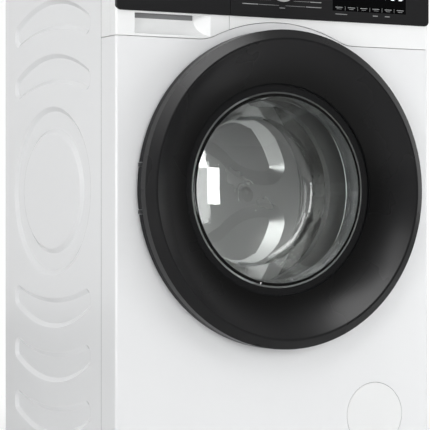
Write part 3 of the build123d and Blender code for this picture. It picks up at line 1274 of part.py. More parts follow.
with BuildPart() as shaft_bearings:
    tube(BEARING_FRONT_RADIUS, SHAFT_FRONT_RADIUS + SHAFT_FIT, HUB_START, BEARING_1_END)
    tube(BEARING_REAR_RADIUS, SHAFT_REAR_RADIUS + SHAFT_FIT, BEARING_2_START, BEARING_2_END)

with BuildPart() as drum_pulley:
    tube(PULLEY_RADIUS, PULLEY_RADIUS - PULLEY_RIM, PULLEY_Y, PULLEY_END)
    spoke_reach = PULLEY_RADIUS - PULLEY_RIM / 2
    for index in range(SPOKES):
        angle = index * 360 / SPOKES
        x, z = polar(spoke_reach / 2, angle)
        with Locations(Location((x, (PULLEY_Y + PULLEY_END) / 2, z), (0, -angle, 0))):
            Box(spoke_reach, PULLEY_WIDTH / 2, SPOKE_WIDTH)
    disc(PULLEY_HUB, PULLEY_Y, PULLEY_END)
    disc(SHAFT_END_RADIUS, PULLEY_Y, PULLEY_END, Mode.SUBTRACT)
    disc(BOLT_HEAD, PULLEY_END, PULLEY_END + BOLT_HEIGHT)

with BuildPart() as drive_belt:
    with BuildSketch(Plane.XZ.offset(-PULLEY_Y - BELT_FIT)) as belt_side:
        add(belt_loop(BELT_FIT + BELT_THICKNESS))
        add(belt_loop(BELT_FIT), mode=Mode.SUBTRACT)
    extrude(belt_side.sketch, amount=2 * BELT_FIT - PULLEY_WIDTH)

with BuildPart() as motor:
    disc(MOTOR_RADIUS, MOTOR_FRONT_Y, MOTOR_REAR_Y, Mode.ADD, (0, MOTOR_Z))
    for y in EAR_ROWS:
        block(-MOTOR_EAR_HALF, MOTOR_EAR_HALF, y, y + EAR_THICKNESS, MOTOR_Z, MOTOR_EAR_TOP)
    disc(MOTOR_SHAFT + RUNNING_FIT, MOTOR_REAR_Y - EAR_THICKNESS, MOTOR_REAR_Y, Mode.SUBTRACT, (0, MOTOR_Z))

with BuildPart() as motor_pulley:
    disc(MOTOR_SHAFT, MOTOR_REAR_Y - EAR_THICKNESS, PULLEY_Y, Mode.ADD, (0, MOTOR_Z))
    disc(MOTOR_PULLEY_RADIUS, PULLEY_Y, PULLEY_END, Mode.ADD, (0, MOTOR_Z))

# Suspension
with BuildPart() as suspension_springs:
    for x in (-SPRING_X, SPRING_X):
        post(x, SPRING_Y, SPRING_RADIUS, SPRING_FOOT_Z, BRACE_Z)
        post(x, SPRING_Y, SPRING_RADIUS - SPRING_WALL, SPRING_FOOT_Z, BRACE_Z, Mode.SUBTRACT)

with BuildPart() as damper_cylinders:
    for x in (-DAMPER_X, DAMPER_X):
        post(x, DAMPER_Y, DAMPER_RADIUS, DAMPER_BASE_Z, DAMPER_TOP_Z)
        bore = DAMPER_ROD + DAMPER_ROD_CLEAR
        post(x, DAMPER_Y, bore, DAMPER_BASE_Z + DAMPER_RADIUS, DAMPER_TOP_Z, Mode.SUBTRACT)

with BuildPart() as damper_rods:
    for x in (-DAMPER_X, DAMPER_X):
        post(x, DAMPER_Y, DAMPER_ROD, DAMPER_ROD_LOW_Z, DAMPER_EYE_Z)

# Drain
with BuildPart() as drain_pump:
    pump_y = FRONT_Y + PUMP_FRONT
    pump_end = pump_y + PUMP_LENGTH
    pump_axis = (FILTER_X, FILTER_Z)
    disc(PUMP_RADIUS, pump_y, pump_end, Mode.ADD, pump_axis)
    disc(PUMP_MOTOR_RADIUS, pump_end, pump_end + PUMP_MOTOR_LENGTH, Mode.ADD, pump_axis)
    post(SUMP_X, SUMP_Y, SPIGOT_RADIUS, FILTER_Z, PUMP_INLET_TOP)
    with Locations(Location(((FILTER_X + OUTLET_END) / 2, SUMP_Y, OUTLET_Z), (0, 90, 0))):
        Cylinder(DRAIN_RADIUS, OUTLET_END - FILTER_X)
        Cylinder(DRAIN_RADIUS - SPIGOT_WALL, OUTLET_END - FILTER_X, mode=Mode.SUBTRACT)
    post(SUMP_X, SUMP_Y, SPIGOT_RADIUS - SPIGOT_WALL, FILTER_Z, PUMP_INLET_TOP, Mode.SUBTRACT)
    disc(PUMP_BORE, pump_y, pump_y + FILTER_LENGTH + SPIGOT_WALL, Mode.SUBTRACT, pump_axis)

with BuildPart() as pump_filter:
    handle_y = pump_y - FILTER_DISC_THICKNESS
    disc(FILTER_RADIUS, pump_y, pump_y + FILTER_LENGTH, Mode.ADD, pump_axis)
    disc(FILTER_DISC, handle_y, pump_y, Mode.ADD, pump_axis)
    block(
        FILTER_X - FILTER_HANDLE_WIDTH / 2, FILTER_X + FILTER_HANDLE_WIDTH / 2,
        handle_y - FILTER_HANDLE_DEPTH, handle_y,
        FILTER_Z - FILTER_HANDLE_HEIGHT / 2, FILTER_Z + FILTER_HANDLE_HEIGHT / 2,
    )

with BuildPart() as filter_bezel:
    bezel_y = FRONT_Y + SHEET
    bezel_end = FRONT_Y + BEZEL_DEPTH
    tube(BEZEL_RADIUS + BEZEL_WALL, BEZEL_RADIUS, bezel_y, bezel_end, Mode.ADD, pump_axis)
    tube(BEZEL_RADIUS, BEZEL_HOLE, bezel_end - BEZEL_WALL, bezel_end, Mode.ADD, pump_axis)
    block(
        FILTER_X - 2 * BEZEL_RADIUS, FILTER_X - BEZEL_NOTCH,
        bezel_y, FLAP_Y + FLAP_ARM_BACK + 2 * FLAP_ARM_THICKNESS,
        FILTER_Z - BEZEL_NOTCH_HALF, FILTER_Z + BEZEL_NOTCH_HALF, Mode.SUBTRACT,
    )
    for z in (FILTER_Z - FLAP_LUG_TOP, FILTER_Z + FLAP_LUG_LOW):
        block(
            FLAP_X - FLAP_LUG_HALF, FLAP_X + FLAP_LUG_REACH, bezel_y, FLAP_Y + FLAP_LUG_HALF,
            z, z + FLAP_LUG_TOP - FLAP_LUG_LOW,
        )
    post(FLAP_X, FLAP_Y, FLAP_PIN + RUNNING_FIT, 0, PORT_Z, Mode.SUBTRACT)

with BuildPart() as filter_cover:
    turned(
        [
            (0, FRONT_Y),
            (COVER_RADIUS, FRONT_Y),
            (COVER_RADIUS, FRONT_Y + SHEET),
            (COVER_RADIUS - COVER_BEVEL, FRONT_Y + COVER_WALL),
            (0, FRONT_Y + COVER_WALL),
        ],
        Mode.ADD,
        pump_axis,
    )
    post(FLAP_X, FLAP_Y, FLAP_PIN, FILTER_Z - BEZEL_NOTCH_HALF, FILTER_Z + BEZEL_NOTCH_HALF)
    arm_back = FLAP_Y + FLAP_ARM_BACK
    arm_end = arm_back + FLAP_ARM_THICKNESS
    leg_x = FLAP_X + FLAP_LEG
    leg_end = leg_x + FLAP_ARM_THICKNESS
    for z in (FILTER_Z - FLAP_ARM_OFFSET, FILTER_Z + FLAP_ARM_OFFSET):
        low = z - FLAP_ARM_HEIGHT / 2
        high = z + FLAP_ARM_HEIGHT / 2
        post(FLAP_X, FLAP_Y, FLAP_KNUCKLE, low, high)
        block(FLAP_X - FLAP_KNUCKLE, FLAP_X, FLAP_Y, arm_end, low, high)
        block(FLAP_X - FLAP_KNUCKLE, leg_end, arm_back, arm_end, low, high)
        block(leg_x, leg_end, FRONT_Y + COVER_WALL / 2, arm_end, low, high)

with BuildPart() as sump_hose:
    bellows(SUMP_X, SUMP_Y, PUMP_INLET_TOP - HOSE_GRIP, SUMP_SPIGOT_LOW + HOSE_GRIP, SPIGOT_RADIUS)

with BuildPart() as drain_hose:
    rise_y = REAR_Y - DRAIN_RISE_INSET
    hose(
        [
            (OUTLET_END - HOSE_GRIP, SUMP_Y, OUTLET_Z),
            (DRAIN_X, SUMP_Y, OUTLET_Z),
            (DRAIN_X, rise_y, OUTLET_Z),
            (DRAIN_X, rise_y, DRAIN_Z),
            (DRAIN_X, REAR_Y - DRAIN_TAIL + HOSE_GRIP, DRAIN_Z),
        ],
        DRAIN_RADIUS,
    )

with BuildPart() as rear_fittings:
    drain_axis = (DRAIN_X, DRAIN_Z)
    disc(DRAIN_FLANGE, REAR_FACE, REAR_FACE + HOUSING_WALL, Mode.ADD, drain_axis)
    disc(DRAIN_RADIUS, REAR_Y - DRAIN_TAIL, REAR_END, Mode.ADD, drain_axis)
    disc(DRAIN_RADIUS - SPIGOT_WALL, REAR_Y - DRAIN_TAIL, REAR_END, Mode.SUBTRACT, drain_axis)
    gland_axis = (GLAND_X, GLAND_Z)
    disc(GLAND_RADIUS + SCREW_HEAD, REAR_FACE, REAR_FACE + HOUSING_WALL, Mode.ADD, gland_axis)
    disc(GLAND_RADIUS, REAR_Y - GLAND_STAND, REAR_FACE + GLAND_STAND, Mode.ADD, gland_axis)
    disc(GLAND_BORE, REAR_Y - GLAND_STAND, REAR_FACE + GLAND_STAND, Mode.SUBTRACT, gland_axis)

pieces = {
    "left_side_panel": left_side_panel,
    "right_side_panel": right_side_panel,
    "rear_panel": rear_panel,
    "rear_service_cover": rear_service_cover,
    "rear_screws": rear_screws,
    "front_panel": front_panel,
    "base_tray": base_tray,
    **feet,
    "top_braces": top_braces,
    "worktop_frame": worktop_frame,
    "worktop_board": worktop_board,
    "control_panel": control_panel,
    "control_strip": control_strip,
    "display_window": display_window,
    "control_board": control_board,
    "programme_knob": programme_knob,
    "drawer_front": drawer_front,
    "drawer_strip": drawer_strip,
    "drawer_tray": drawer_tray,
    "siphon_cap": siphon_cap,
    "dispenser_housing": dispenser_housing,
    "inlet_valve": inlet_valve,
    "fill_hose": fill_hose,
    "dispenser_hose": dispenser_hose,
    "door_front_frame": door_front_frame,
    "door_back_frame": door_back_frame,
    "door_glass": door_glass,
    "glass_trim_ring": glass_trim_ring,
    "hinge_bracket": hinge_bracket,
    "hinge_block": hinge_block,
    "door_hook": door_hook,
    "door_lock": door_lock,
    "door_gasket": door_gasket,
    "tub_front": tub_front,
    "tub_rear": tub_rear,
    "counterweights": counterweights,
    "heater": heater,
    "drum_shell": drum_shell,
    "drum_front_ring": drum_front_ring,
    "drum_back_plate": drum_back_plate,
    "drum_lifters": drum_lifters,
    "drum_spider": drum_spider,
    "shaft_bearings": shaft_bearings,
    "drum_pulley": drum_pulley,
    "drive_belt": drive_belt,
    "motor": motor,
    "motor_pulley": motor_pulley,
    "suspension_springs": suspension_springs,
    "damper_cylinders": damper_cylinders,
    "damper_rods": damper_rods,
    "drain_pump": drain_pump,
    "pump_filter": pump_filter,
    "filter_bezel": filter_bezel,
    "filter_cover": filter_cover,
    "sump_hose": sump_hose,
    "drain_hose": drain_hose,
    "rear_fittings": rear_fittings,
}

for name, piece in pieces.items():
    piece.part.label = name
    export_step(piece.part, f"parts/{name}.step")
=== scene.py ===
import json
import math

import bpy
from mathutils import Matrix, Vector


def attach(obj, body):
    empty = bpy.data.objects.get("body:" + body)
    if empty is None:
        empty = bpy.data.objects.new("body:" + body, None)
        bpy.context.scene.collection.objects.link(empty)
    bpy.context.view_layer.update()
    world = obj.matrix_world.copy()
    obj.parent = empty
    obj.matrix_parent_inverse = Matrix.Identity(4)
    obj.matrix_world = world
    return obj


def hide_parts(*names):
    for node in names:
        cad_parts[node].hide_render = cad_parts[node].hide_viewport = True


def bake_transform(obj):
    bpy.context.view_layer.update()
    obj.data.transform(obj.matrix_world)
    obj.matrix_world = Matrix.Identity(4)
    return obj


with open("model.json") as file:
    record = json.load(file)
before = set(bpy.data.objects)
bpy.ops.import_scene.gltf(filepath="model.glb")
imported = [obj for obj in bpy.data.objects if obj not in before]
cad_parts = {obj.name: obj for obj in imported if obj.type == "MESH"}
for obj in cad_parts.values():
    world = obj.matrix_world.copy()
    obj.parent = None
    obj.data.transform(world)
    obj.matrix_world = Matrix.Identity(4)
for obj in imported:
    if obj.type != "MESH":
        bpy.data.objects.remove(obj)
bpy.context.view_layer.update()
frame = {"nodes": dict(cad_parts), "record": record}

SCENE = bpy.context.scene

# Main places of the machine, in metres.
PORT_Z = 0.463
STRIP_FACE = -0.218
PRINT_FACE = STRIP_FACE - 0.0001
LENS_FACE = STRIP_FACE - 0.0012
KNOB_X = 0.006
KNOB_Z = 0.799
KNOB_BACK = -0.2188
KNOB_FRONT = -0.2408
GRIP_BACK = -0.1945

# Wash holes of the drum, a little over life size so that they still show.
DRUM_RADIUS = 0.231
HOLES_ROUND = 43
HOLE_RADIUS = 0.0022

# Door moulding: painted shade deepens its tone from the outer radius of the dish to the inner one.
DISH_INNER = 0.180
DISH_OUTER = 0.238

# Tub springs.
SPRING_X = 0.258
SPRING_Y = 0.07
WIRE_RADIUS = 0.0017
COIL_RADIUS = 0.0092
COIL_FOOT = 0.625
COIL_LENGTH = 0.165
COIL_TURNS = 26
EYE_RADIUS = 0.0088
EYE_HEIGHTS = (0.6165, 0.7985)

# Corrugated hoses: each fold is drawn through (share of the pitch, fall below the crest) pairs.
HOSE_BORE = 0.016
HOSE_WALL = 0.0025
HOSE_CUFF = 0.014
FOLD_HEIGHT = 0.005
FOLD_SHAPE = ((0.28, 0.0008), (0.42, 0), (0.58, 0), (0.72, 0.0008))

# Door gasket, as (radius, station along Y) pairs from the front panel back to the tub.
GASKET_WALL = 0.0035
GASKET_ROLL = [
    (0.1720, -0.2130),
    (0.1715, -0.2075),
    (0.1720, -0.2000),
    (0.1712, -0.1970),
    (0.1690, -0.1935),
    (0.1676, -0.1890),
    (0.1676, -0.1820),
    (0.1690, -0.1780),
    (0.1735, -0.1745),
    (0.1760, -0.1705),
    (0.1760, -0.1540),
]

# Knob cap, as (radius, height off the strip) pairs: skirt, side, rounded rim and dished face.
KNOB_TURN = [
    (0.0205, 0.0000),
    (0.0238, 0.0000),
    (0.0240, 0.0008),
    (0.0240, 0.0030),
    (0.0226, 0.0042),
    (0.0218, 0.0050),
    (0.0210, 0.0185),
    (0.0206, 0.0205),
    (0.0196, 0.0217),
    (0.0182, 0.0220),
    (0.0172, 0.0216),
    (0.0100, 0.0213),
    (0.0002, 0.0213),
]
FLUTE_FOOT = 0.006
FLUTE_TOP = 0.018
FLUTE_MARGIN = 0.00022
FLUTE_DEPTH = 0.0005

# Dial marks: rows of label bars on both sides of the knob, each with a leader line towards it.
DIAL_ROWS = 8
DIAL_TOP = 0.0298
DIAL_PITCH = 0.00852
DIAL_RING = 0.0305
DIAL_HALF = 0.076
LONG_LABEL = 0.030
SHORT_LABEL = 0.022
LABEL_GAP = 0.0015
LABEL_HIGH = 0.0012
LEADER_HIGH = 0.0005
LOWEST_LABEL_Z = 0.7651
LOWEST_LABEL_WIDE = 0.011

# Touch keys: two rows of (height, width, thickness) labels, with thin lines between the keys.
KEYS = 6
KEY_X = 0.116
KEY_PITCH = 0.0245
KEY_ROWS = ((0.7720, 0.014, 0.0011), (0.7692, 0.009, 0.0006))
DIVIDER = (0.7705, 0.0005, 0.007)

# Start key: (x, width, thickness) labels in one row below the lens.
START_Z = 0.7605
START_LABELS = ((0.121, 0.024, 0.0010), (0.189, 0.010, 0.0014), (0.213, 0.010, 0.0014))

# Time display: seven segment figures, each bar as (across, up, width, height) about the figure's middle.
DISPLAY_Z = 0.7985
STROKE = 0.0016
FLAT = (0.0070, STROKE)
UPRIGHT = (STROKE, 0.0075)
FIGURE_SIDE = 0.0045
FIGURE_TOP = 0.0090
BARS = {
    "a": (0, FIGURE_TOP, *FLAT),
    "b": (FIGURE_SIDE, FIGURE_TOP / 2, *UPRIGHT),
    "c": (FIGURE_SIDE, -FIGURE_TOP / 2, *UPRIGHT),
    "d": (0, -FIGURE_TOP, *FLAT),
    "e": (-FIGURE_SIDE, -FIGURE_TOP / 2, *UPRIGHT),
    "f": (-FIGURE_SIDE, FIGURE_TOP / 2, *UPRIGHT),
    "g": (0, 0, *FLAT),
}
SEGMENTS = {"0": "abcdef", "1": "bc", "3": "abcdg"}
FIGURES = (("1", 0.205), ("3", 0.223), ("0", 0.239))
COLON_X = 0.2145
COLON_HALF = 0.003
COLON_DOT = 0.0018

# Pointer on the knob's face.
POINTER_FACE = KNOB_FRONT + 0.0002
POINTER_RISE = 0.0140
POINTER_SIZE = (0.0016, 0.0060)

# Painted shade in the drawer's finger slot: a grey liner plate.
SLOT_SHADE_PLACE = (-0.2077, GRIP_BACK - 0.0006, 0.7487)
SLOT_SHADE_SIZE = (0.1138, 0.0008, 0.0206)
SLOT_SHADE_EDGE = 0.0003

# Painted shade in the joint between side panel and front: a dark tape strip.
JOINT_X = 0.29805
JOINT_Y = -0.1595
JOINT_Z = 0.423
JOINT_SHADE_SIZE = (0.0008, 0.00094, 0.816)
JOINT_SHADE_EDGE = 0.0001

# Points round a turned skin, and smoothing angles in degrees.
FINE_ROUND = 96
HOSE_ROUND = 48
RUBBER_ANGLE = 60
KNOB_ANGLE = 30


def lin(code):
    """A hex sRGB colour as linear red, green, blue and alpha."""
    parts = [int(code[i : i + 2], 16) / 255 for i in (1, 3, 5)]
    return tuple(c / 12.92 if c <= 0.04045 else ((c + 0.055) / 1.055) ** 2.4 for c in parts) + (1.0,)


def add(tree, kind, inputs=None, **settings):
    """Adds a node, sets it up and links or fills its inputs."""
    node = tree.nodes.new(kind)
    for key, value in settings.items():
        setattr(node, key, value)
    for key, value in (inputs or {}).items():
        if isinstance(value, bpy.types.NodeSocket):
            tree.links.new(value, node.inputs[key])
        else:
            node.inputs[key].default_value = value
    return node


def calc(tree, operation, first, second, **settings):
    """The result of one sum on two values."""
    return add(tree, "ShaderNodeMath", {0: first, 1: second}, operation=operation, **settings).outputs[0]


def blended(tree, share, first, second):
    """A colour between two colours."""
    return add(tree, "ShaderNodeMix", {0: share, 6: first, 7: second}, data_type="RGBA").outputs[2]


def noise(tree, place, size, detail):
    """Soft noise with patches of about size mm."""
    inputs = {"Vector": place, "Scale": 1000 / size, "Detail": detail}
    return add(tree, "ShaderNodeTexNoise", inputs).outputs[0]


def finish(name, pale, deep, rough, cloud, grain, depth, **sockets):
    """A finish that drifts between two near tones over cloud mm, its grain of grain mm pressed depth mm."""
    mat = bpy.data.materials.new(name)
    mat.use_nodes = True
    tree = mat.node_tree
    shader = tree.nodes["Principled BSDF"]
    place = add(tree, "ShaderNodeTexCoord").outputs["Object"]
    drift = noise(tree, place, cloud, 3.0)
    tree.links.new(blended(tree, drift, lin(pale), lin(deep)), shader.inputs["Base Color"])
    sheen = {"Value": drift, "From Min": 0.3, "From Max": 0.7, "To Min": rough * 0.85, "To Max": rough * 1.15}
    tree.links.new(add(tree, "ShaderNodeMapRange", sheen).outputs[0], shader.inputs["Roughness"])
    speck = noise(tree, place, grain, 2.0)
    relief = add(tree, "ShaderNodeBump", {"Height": speck, "Strength": 0.6, "Distance": depth / 1000})
    tree.links.new(relief.outputs[0], shader.inputs["Normal"])
    for key, value in sockets.items():
        shader.inputs[key.replace("_", " ")].default_value = value
    return mat


def feed(shader, socket):
    """What is linked to a shader's socket so far."""
    return shader.inputs[socket].links[0].from_socket


def perforated(name):
    """Brushed drum steel with staggered rows of wash holes round the drum axis; its darker tone and the near
    black holes are painted shade.
    """
    mat = finish(name, "#868685", "#7a7a79", 0.2, 90, 5, 0.05, Metallic=0.9)
    tree = mat.node_tree
    shader = tree.nodes["Principled BSDF"]
    place = add(tree, "ShaderNodeTexCoord").outputs["Object"]
    across, along, up = add(tree, "ShaderNodeSeparateXYZ", {0: place}).outputs
    turn = calc(tree, "ARCTAN2", calc(tree, "SUBTRACT", up, PORT_Z), across)
    # A whole number of holes to a row, so that the pattern closes on itself.
    pitch = 2 * math.pi * DRUM_RADIUS / (HOLES_ROUND * math.sqrt(2))
    unrolled = add(tree, "ShaderNodeCombineXYZ", {0: calc(tree, "MULTIPLY", turn, DRUM_RADIUS), 1: along})
    zoom = (1 / pitch, 1 / pitch, 1.0)
    lattice = add(
        tree,
        "ShaderNodeMapping",
        {"Vector": unrolled.outputs[0], "Rotation": (0, 0, math.pi / 4), "Scale": zoom},
    )
    cell = add(
        tree,
        "ShaderNodeTexVoronoi",
        {"Vector": lattice.outputs[0], "Scale": 1.0, "Randomness": 0.0},
        voronoi_dimensions="2D",
    ).outputs[0]
    edge = HOLE_RADIUS / pitch
    hole = add(
        tree,
        "ShaderNodeMapRange",
        {"Value": cell, "From Min": edge * 0.85, "From Max": edge * 1.15, "To Min": 1.0, "To Max": 0.0},
    )
    # The holes are painted near black: painted shade inside each hole.
    holes_painted_shade = blended(tree, hole.outputs[0], feed(shader, "Base Color"), lin("#0c0c0c"))
    tree.links.new(holes_painted_shade, shader.inputs["Base Color"])
    # Each hole sits in a soft dimple pressed by its punch.
    dimple = add(tree, "ShaderNodeMapRange", {"Value": cell, "From Max": edge * 2.5}).outputs[0]
    pressed = add(
        tree,
        "ShaderNodeBump",
        {"Height": dimple, "Strength": 0.7, "Distance": 0.0008, "Normal": feed(shader, "Normal")},
    )
    tree.links.new(pressed.outputs[0], shader.inputs["Normal"])
    return mat


def dish_with_painted_shade(name):
    """The door's satin black with painted shade, deeper towards the glass."""
    mat = finish(name, "#1c1c1d", "#19191a", 0.28, 160, 4, 0.02, Specular_IOR_Level=0.22)
    tree = mat.node_tree
    shader = tree.nodes["Principled BSDF"]
    place = add(tree, "ShaderNodeTexCoord").outputs["Object"]
    level = add(tree, "ShaderNodeVectorMath", {0: place, 1: (0, 0, PORT_Z)}, operation="SUBTRACT")
    flat = add(tree, "ShaderNodeVectorMath", {0: level.outputs[0], 1: (1, 0, 1)}, operation="MULTIPLY")
    radius = add(tree, "ShaderNodeVectorMath", {0: flat.outputs[0]}, operation="LENGTH")
    share = add(
        tree,
        "ShaderNodeMapRange",
        {"Value": radius.outputs["Value"], "From Min": DISH_INNER, "From Max": DISH_OUTER},
        interpolation_type="SMOOTHSTEP",
    )
    shade = blended(tree, share.outputs[0], lin("#040404"), feed(shader, "Base Color"))
    tree.links.new(shade, shader.inputs["Base Color"])
    return mat


def ribbed(name, base, direction, pitch, depth):
    """A finish with ribs laid over it, pitch mm wide with grooves as wide, and depth mm high."""
    tree = base.node_tree
    base.name = name
    shader = tree.nodes["Principled BSDF"]
    place = add(tree, "ShaderNodeTexCoord").outputs["Object"]
    # The wave node turns through 20 radians for each unit of its scale.
    scale = 1000 / pitch / 20 * math.pi
    ribs = add(
        tree,
        "ShaderNodeTexWave",
        {"Vector": place, "Scale": scale, "Distortion": 0.4, "Detail": 1.0},
        bands_direction=direction,
    ).outputs[0]
    relief = add(
        tree,
        "ShaderNodeBump",
        {"Height": ribs, "Strength": 0.8, "Distance": depth / 1000, "Normal": feed(shader, "Normal")},
    )
    tree.links.new(relief.outputs[0], shader.inputs["Normal"])
    return base


def spangled(name, crystal):
    """Galvanised sheet: flat zinc crystals of crystal mm that each catch the light differently."""
    mat = finish(name, "#b9bdc0", "#a2a6a9", 0.38, 200, 3, 0.03, Metallic=1.0)
    tree = mat.node_tree
    shader = tree.nodes["Principled BSDF"]
    place = add(tree, "ShaderNodeTexCoord").outputs["Object"]
    cells = add(tree, "ShaderNodeTexVoronoi", {"Vector": place, "Scale": 1000 / crystal}).outputs["Color"]
    glint = add(tree, "ShaderNodeMapRange", {"Value": cells, "To Min": 0.28, "To Max": 0.48}).outputs[0]
    tree.links.new(glint, shader.inputs["Roughness"])
    shade = blended(tree, glint, feed(shader, "Base Color"), lin("#d6d9db"))
    tree.links.new(shade, shader.inputs["Base Color"])
    return mat


# The record's finishes. Each comment says what the finish gives the eye.
FINISHES = {
    # Stoved enamel on sheet steel: clean cool white, soft gloss, a faint orange peel.
    "white_enamel": finish("stoved white enamel", "#f2f3f4", "#eff0f1", 0.2, 260, 7, 0.01, Coat_Weight=0.2),
    # Moulded white ABS: a shade brighter and more satin than the enamel.
    "fascia_white": finish("satin white ABS", "#f8f9f9", "#f5f6f6", 0.36, 180, 4, 0.02),
    # Extruded worktop edging: matt white, a touch greyer than the board.
    "worktop_trim": finish("white PVC edging", "#f0f1f1", "#e9eaea", 0.42, 160, 4, 0.03),
    # Melamine board: white with a fine pebbled press plate texture.
    "worktop_laminate": finish("white melamine laminate", "#f3f3f2", "#ececeb", 0.45, 140, 4, 0.06),
    # Moulded black strip: near black, low sheen, evenly grained.
    "strip_black": finish(
        "black moulded fascia", "#232324", "#1e1e1f", 0.38, 150, 4, 0.02, Specular_IOR_Level=0.16
    ),
    # Display lens: deep black acrylic with a glassy face.
    "display_black": finish(
        "smoked acrylic lens", "#050506", "#080809", 0.1, 120, 40, 0.01, Specular_IOR_Level=0.08
    ),
    # Knob: pale satin plating, part mirror and part soft white.
    "knob_finish": finish("satin plated knob", "#eeefef", "#e4e5e5", 0.24, 30, 3, 0.02, Metallic=0.55),
    # Door frames: satin black with hardly any mirror, so that the rim stays dark beside the white front.
    "door_black": finish(
        "satin black door moulding", "#222224", "#1e1e20", 0.3, 160, 4, 0.02, Specular_IOR_Level=0.05
    ),
    # Bowl glass: clear, with the faintest grey of thick pressed glass.
    "clear_glass": finish(
        "pressed bowl glass",
        "#f7f9f8",
        "#f1f4f3",
        0.01,
        90,
        60,
        0.02,
        Transmission_Weight=1.0,
        IOR=1.45,
        Specular_IOR_Level=0.2,
    ),
    # Trim ring: dark smoked chrome line round the glass.
    "trim_chrome": finish("smoked chrome trim", "#2b2c2d", "#242526", 0.34, 60, 6, 0.02, Metallic=1.0),
    # Hinge: dull grey coated casting, dark in the shade behind the door.
    "hinge_black": finish(
        "grey coated casting", "#77787a", "#6c6d6f", 0.5, 25, 2, 0.05, Specular_IOR_Level=0.2
    ),
    # Hook: die cast zinc, pewter grey with a dull cast skin.
    "zinc_cast": finish("die cast zinc", "#a3a5a6", "#8c8e90", 0.42, 25, 2, 0.06, Metallic=1.0),
    # Service mouldings: mid grey, plain and matt.
    "grey_plastic": finish("grey polypropylene", "#8d9092", "#7d8082", 0.5, 60, 3, 0.04),
    # Bellows: soft dark grey rubber with a dusty bloom.
    "gasket_rubber": finish("grey door rubber", "#4a4b4c", "#3a3b3c", 0.62, 35, 3, 0.05),
    # Hoses: matt black rubber.
    "hose_rubber": finish("black hose rubber", "#232324", "#1a1a1b", 0.6, 35, 3, 0.05),
    # Belt: black rubber with fine ribs.
    "belt_rubber": ribbed(
        "ribbed belt rubber", finish("belt", "#1d1d1e", "#151516", 0.66, 20, 2, 0.04), "Y", 3.0, 0.5
    ),
    # Tub: milky grey filled polypropylene with weak flow marks.
    "tub_plastic": finish("filled tub polypropylene", "#cfd2d1", "#bcc0bf", 0.52, 120, 5, 0.06),
    # Counterweights: pitted pale concrete.
    "concrete": finish("cast concrete", "#a9a6a0", "#86837d", 0.88, 22, 3, 0.6),
    # Drum sheet: bright rolled stainless, part mirror and part soft grey.
    "drum_steel": finish("rolled stainless", "#e9e9e8", "#dededd", 0.24, 70, 5, 0.02, Metallic=0.55),
    # Lifters: pale grey moulding with a soft gloss.
    "lifter_plastic": finish("pale lifter moulding", "#d9dbdc", "#c9cbcc", 0.34, 50, 4, 0.03),
    # Spider and pulley: sand cast aluminium, coarse and dull.
    "cast_alloy": finish("cast aluminium", "#b7b9ba", "#989a9c", 0.48, 18, 2.5, 0.15, Metallic=1.0),
    # Bearings, rods and heater: bright turned steel with a fine grain.
    "machined_steel": finish("turned steel", "#c6c7c8", "#b1b2b3", 0.22, 30, 2, 0.02, Metallic=1.0),
    # Motor and dampers: grey zinc plate, satin.
    "motor_metal": finish("zinc plated steel", "#aeb1b3", "#96999b", 0.36, 40, 3, 0.04, Metallic=1.0),
    # Rear sheets: cool grey zinc with crystals that glint unevenly.
    "galvanised": spangled("galvanised sheet", 14),
    # Springs: oil dipped spring wire, dark and slightly glossy.
    "spring_steel": finish("oiled spring wire", "#6f7072", "#5a5b5d", 0.33, 15, 2, 0.03, Metallic=1.0),
    # Base and feet: black recycled moulding, matt.
    "base_plastic": finish("charcoal base moulding", "#3a3b3c", "#303132", 0.56, 60, 4, 0.06),
    # Drawer tray and its housing: milky white, slightly waxy.
    "tray_plastic": finish(
        "milky tray moulding", "#e6e8e9", "#dbdedf", 0.4, 70, 4, 0.03, Subsurface_Weight=0.05
    ),
    # Softener cap: mid blue moulding with a soft gloss.
    "cap_plastic": finish("blue cap moulding", "#4f83b5", "#426f9e", 0.34, 30, 3, 0.03),
    # Filter and its bezel: dark grey matt moulding; behind the gap round the cover its dark tone is painted
    # shade.
    "filter_plastic": finish("dark grey filter moulding", "#5a5d5f", "#505355", 0.46, 40, 3, 0.04),
    # Filter cover: white ABS, matched to the front.
    "cover_white": finish("white cover ABS", "#f2f3f3", "#eeefef", 0.34, 120, 4, 0.02),
}
# Nodes with a finish of their own.
OWN = {
    # Drum wall: brushed steel darkened as painted shade, pierced all over with holes painted near black as
    # their shade.
    "drum_shell": perforated("perforated drum steel"),
    # Mouth of the drum: the same rolled stainless, duller and darker as painted shade where it rolls in out
    # of the light.
    "drum_front_ring": finish(
        "shaded rolled stainless", "#7d7d7c", "#717170", 0.34, 70, 5, 0.02, Metallic=0.7
    ),
    # Door front: satin black with painted shade that falls off to deep black round the glass.
    "door_front_frame": dish_with_painted_shade("satin black dish with painted shade"),
}
for subpart in frame["record"]["subparts"]:
    mesh = frame["nodes"][subpart["node"]].data
    mesh.materials.clear()
    mesh.materials.append(OWN.get(subpart["node"], FINISHES[subpart["material_slot"]]))


def start():
    """Leaves edit mode with nothing selected, ready for the next mesh."""
    if bpy.context.object and bpy.context.object.mode == "EDIT":
        bpy.ops.object.mode_set(mode="OBJECT")
    bpy.ops.object.select_all(action="DESELECT")


def freeze():
    """Puts the active mesh's place, turn and scale into its points."""
    bpy.ops.object.transform_apply(location=True, rotation=True, scale=True)


def edit():
    """Opens the active mesh with all of it selected."""
    bpy.ops.object.mode_set(mode="EDIT")
    bpy.ops.mesh.select_all(action="SELECT")


def joined(made):
    """Joins meshes into the first of them and leaves it active."""
    start()
    for piece in made:
        piece.select_set(True)
    bpy.context.view_layer.objects.active = made[0]
    bpy.ops.object.join()


def settle(name, material, angle=35):
    """Names the active mesh, puts its place into the mesh, smooths it and gives it a finish."""
    bpy.ops.object.mode_set(mode="OBJECT")
    piece = bpy.context.object
    freeze()
    bpy.ops.object.shade_smooth_by_angle(angle=math.radians(angle))
    piece.name = name
    piece.data.materials.clear()
    piece.data.materials.append(material)
    return piece


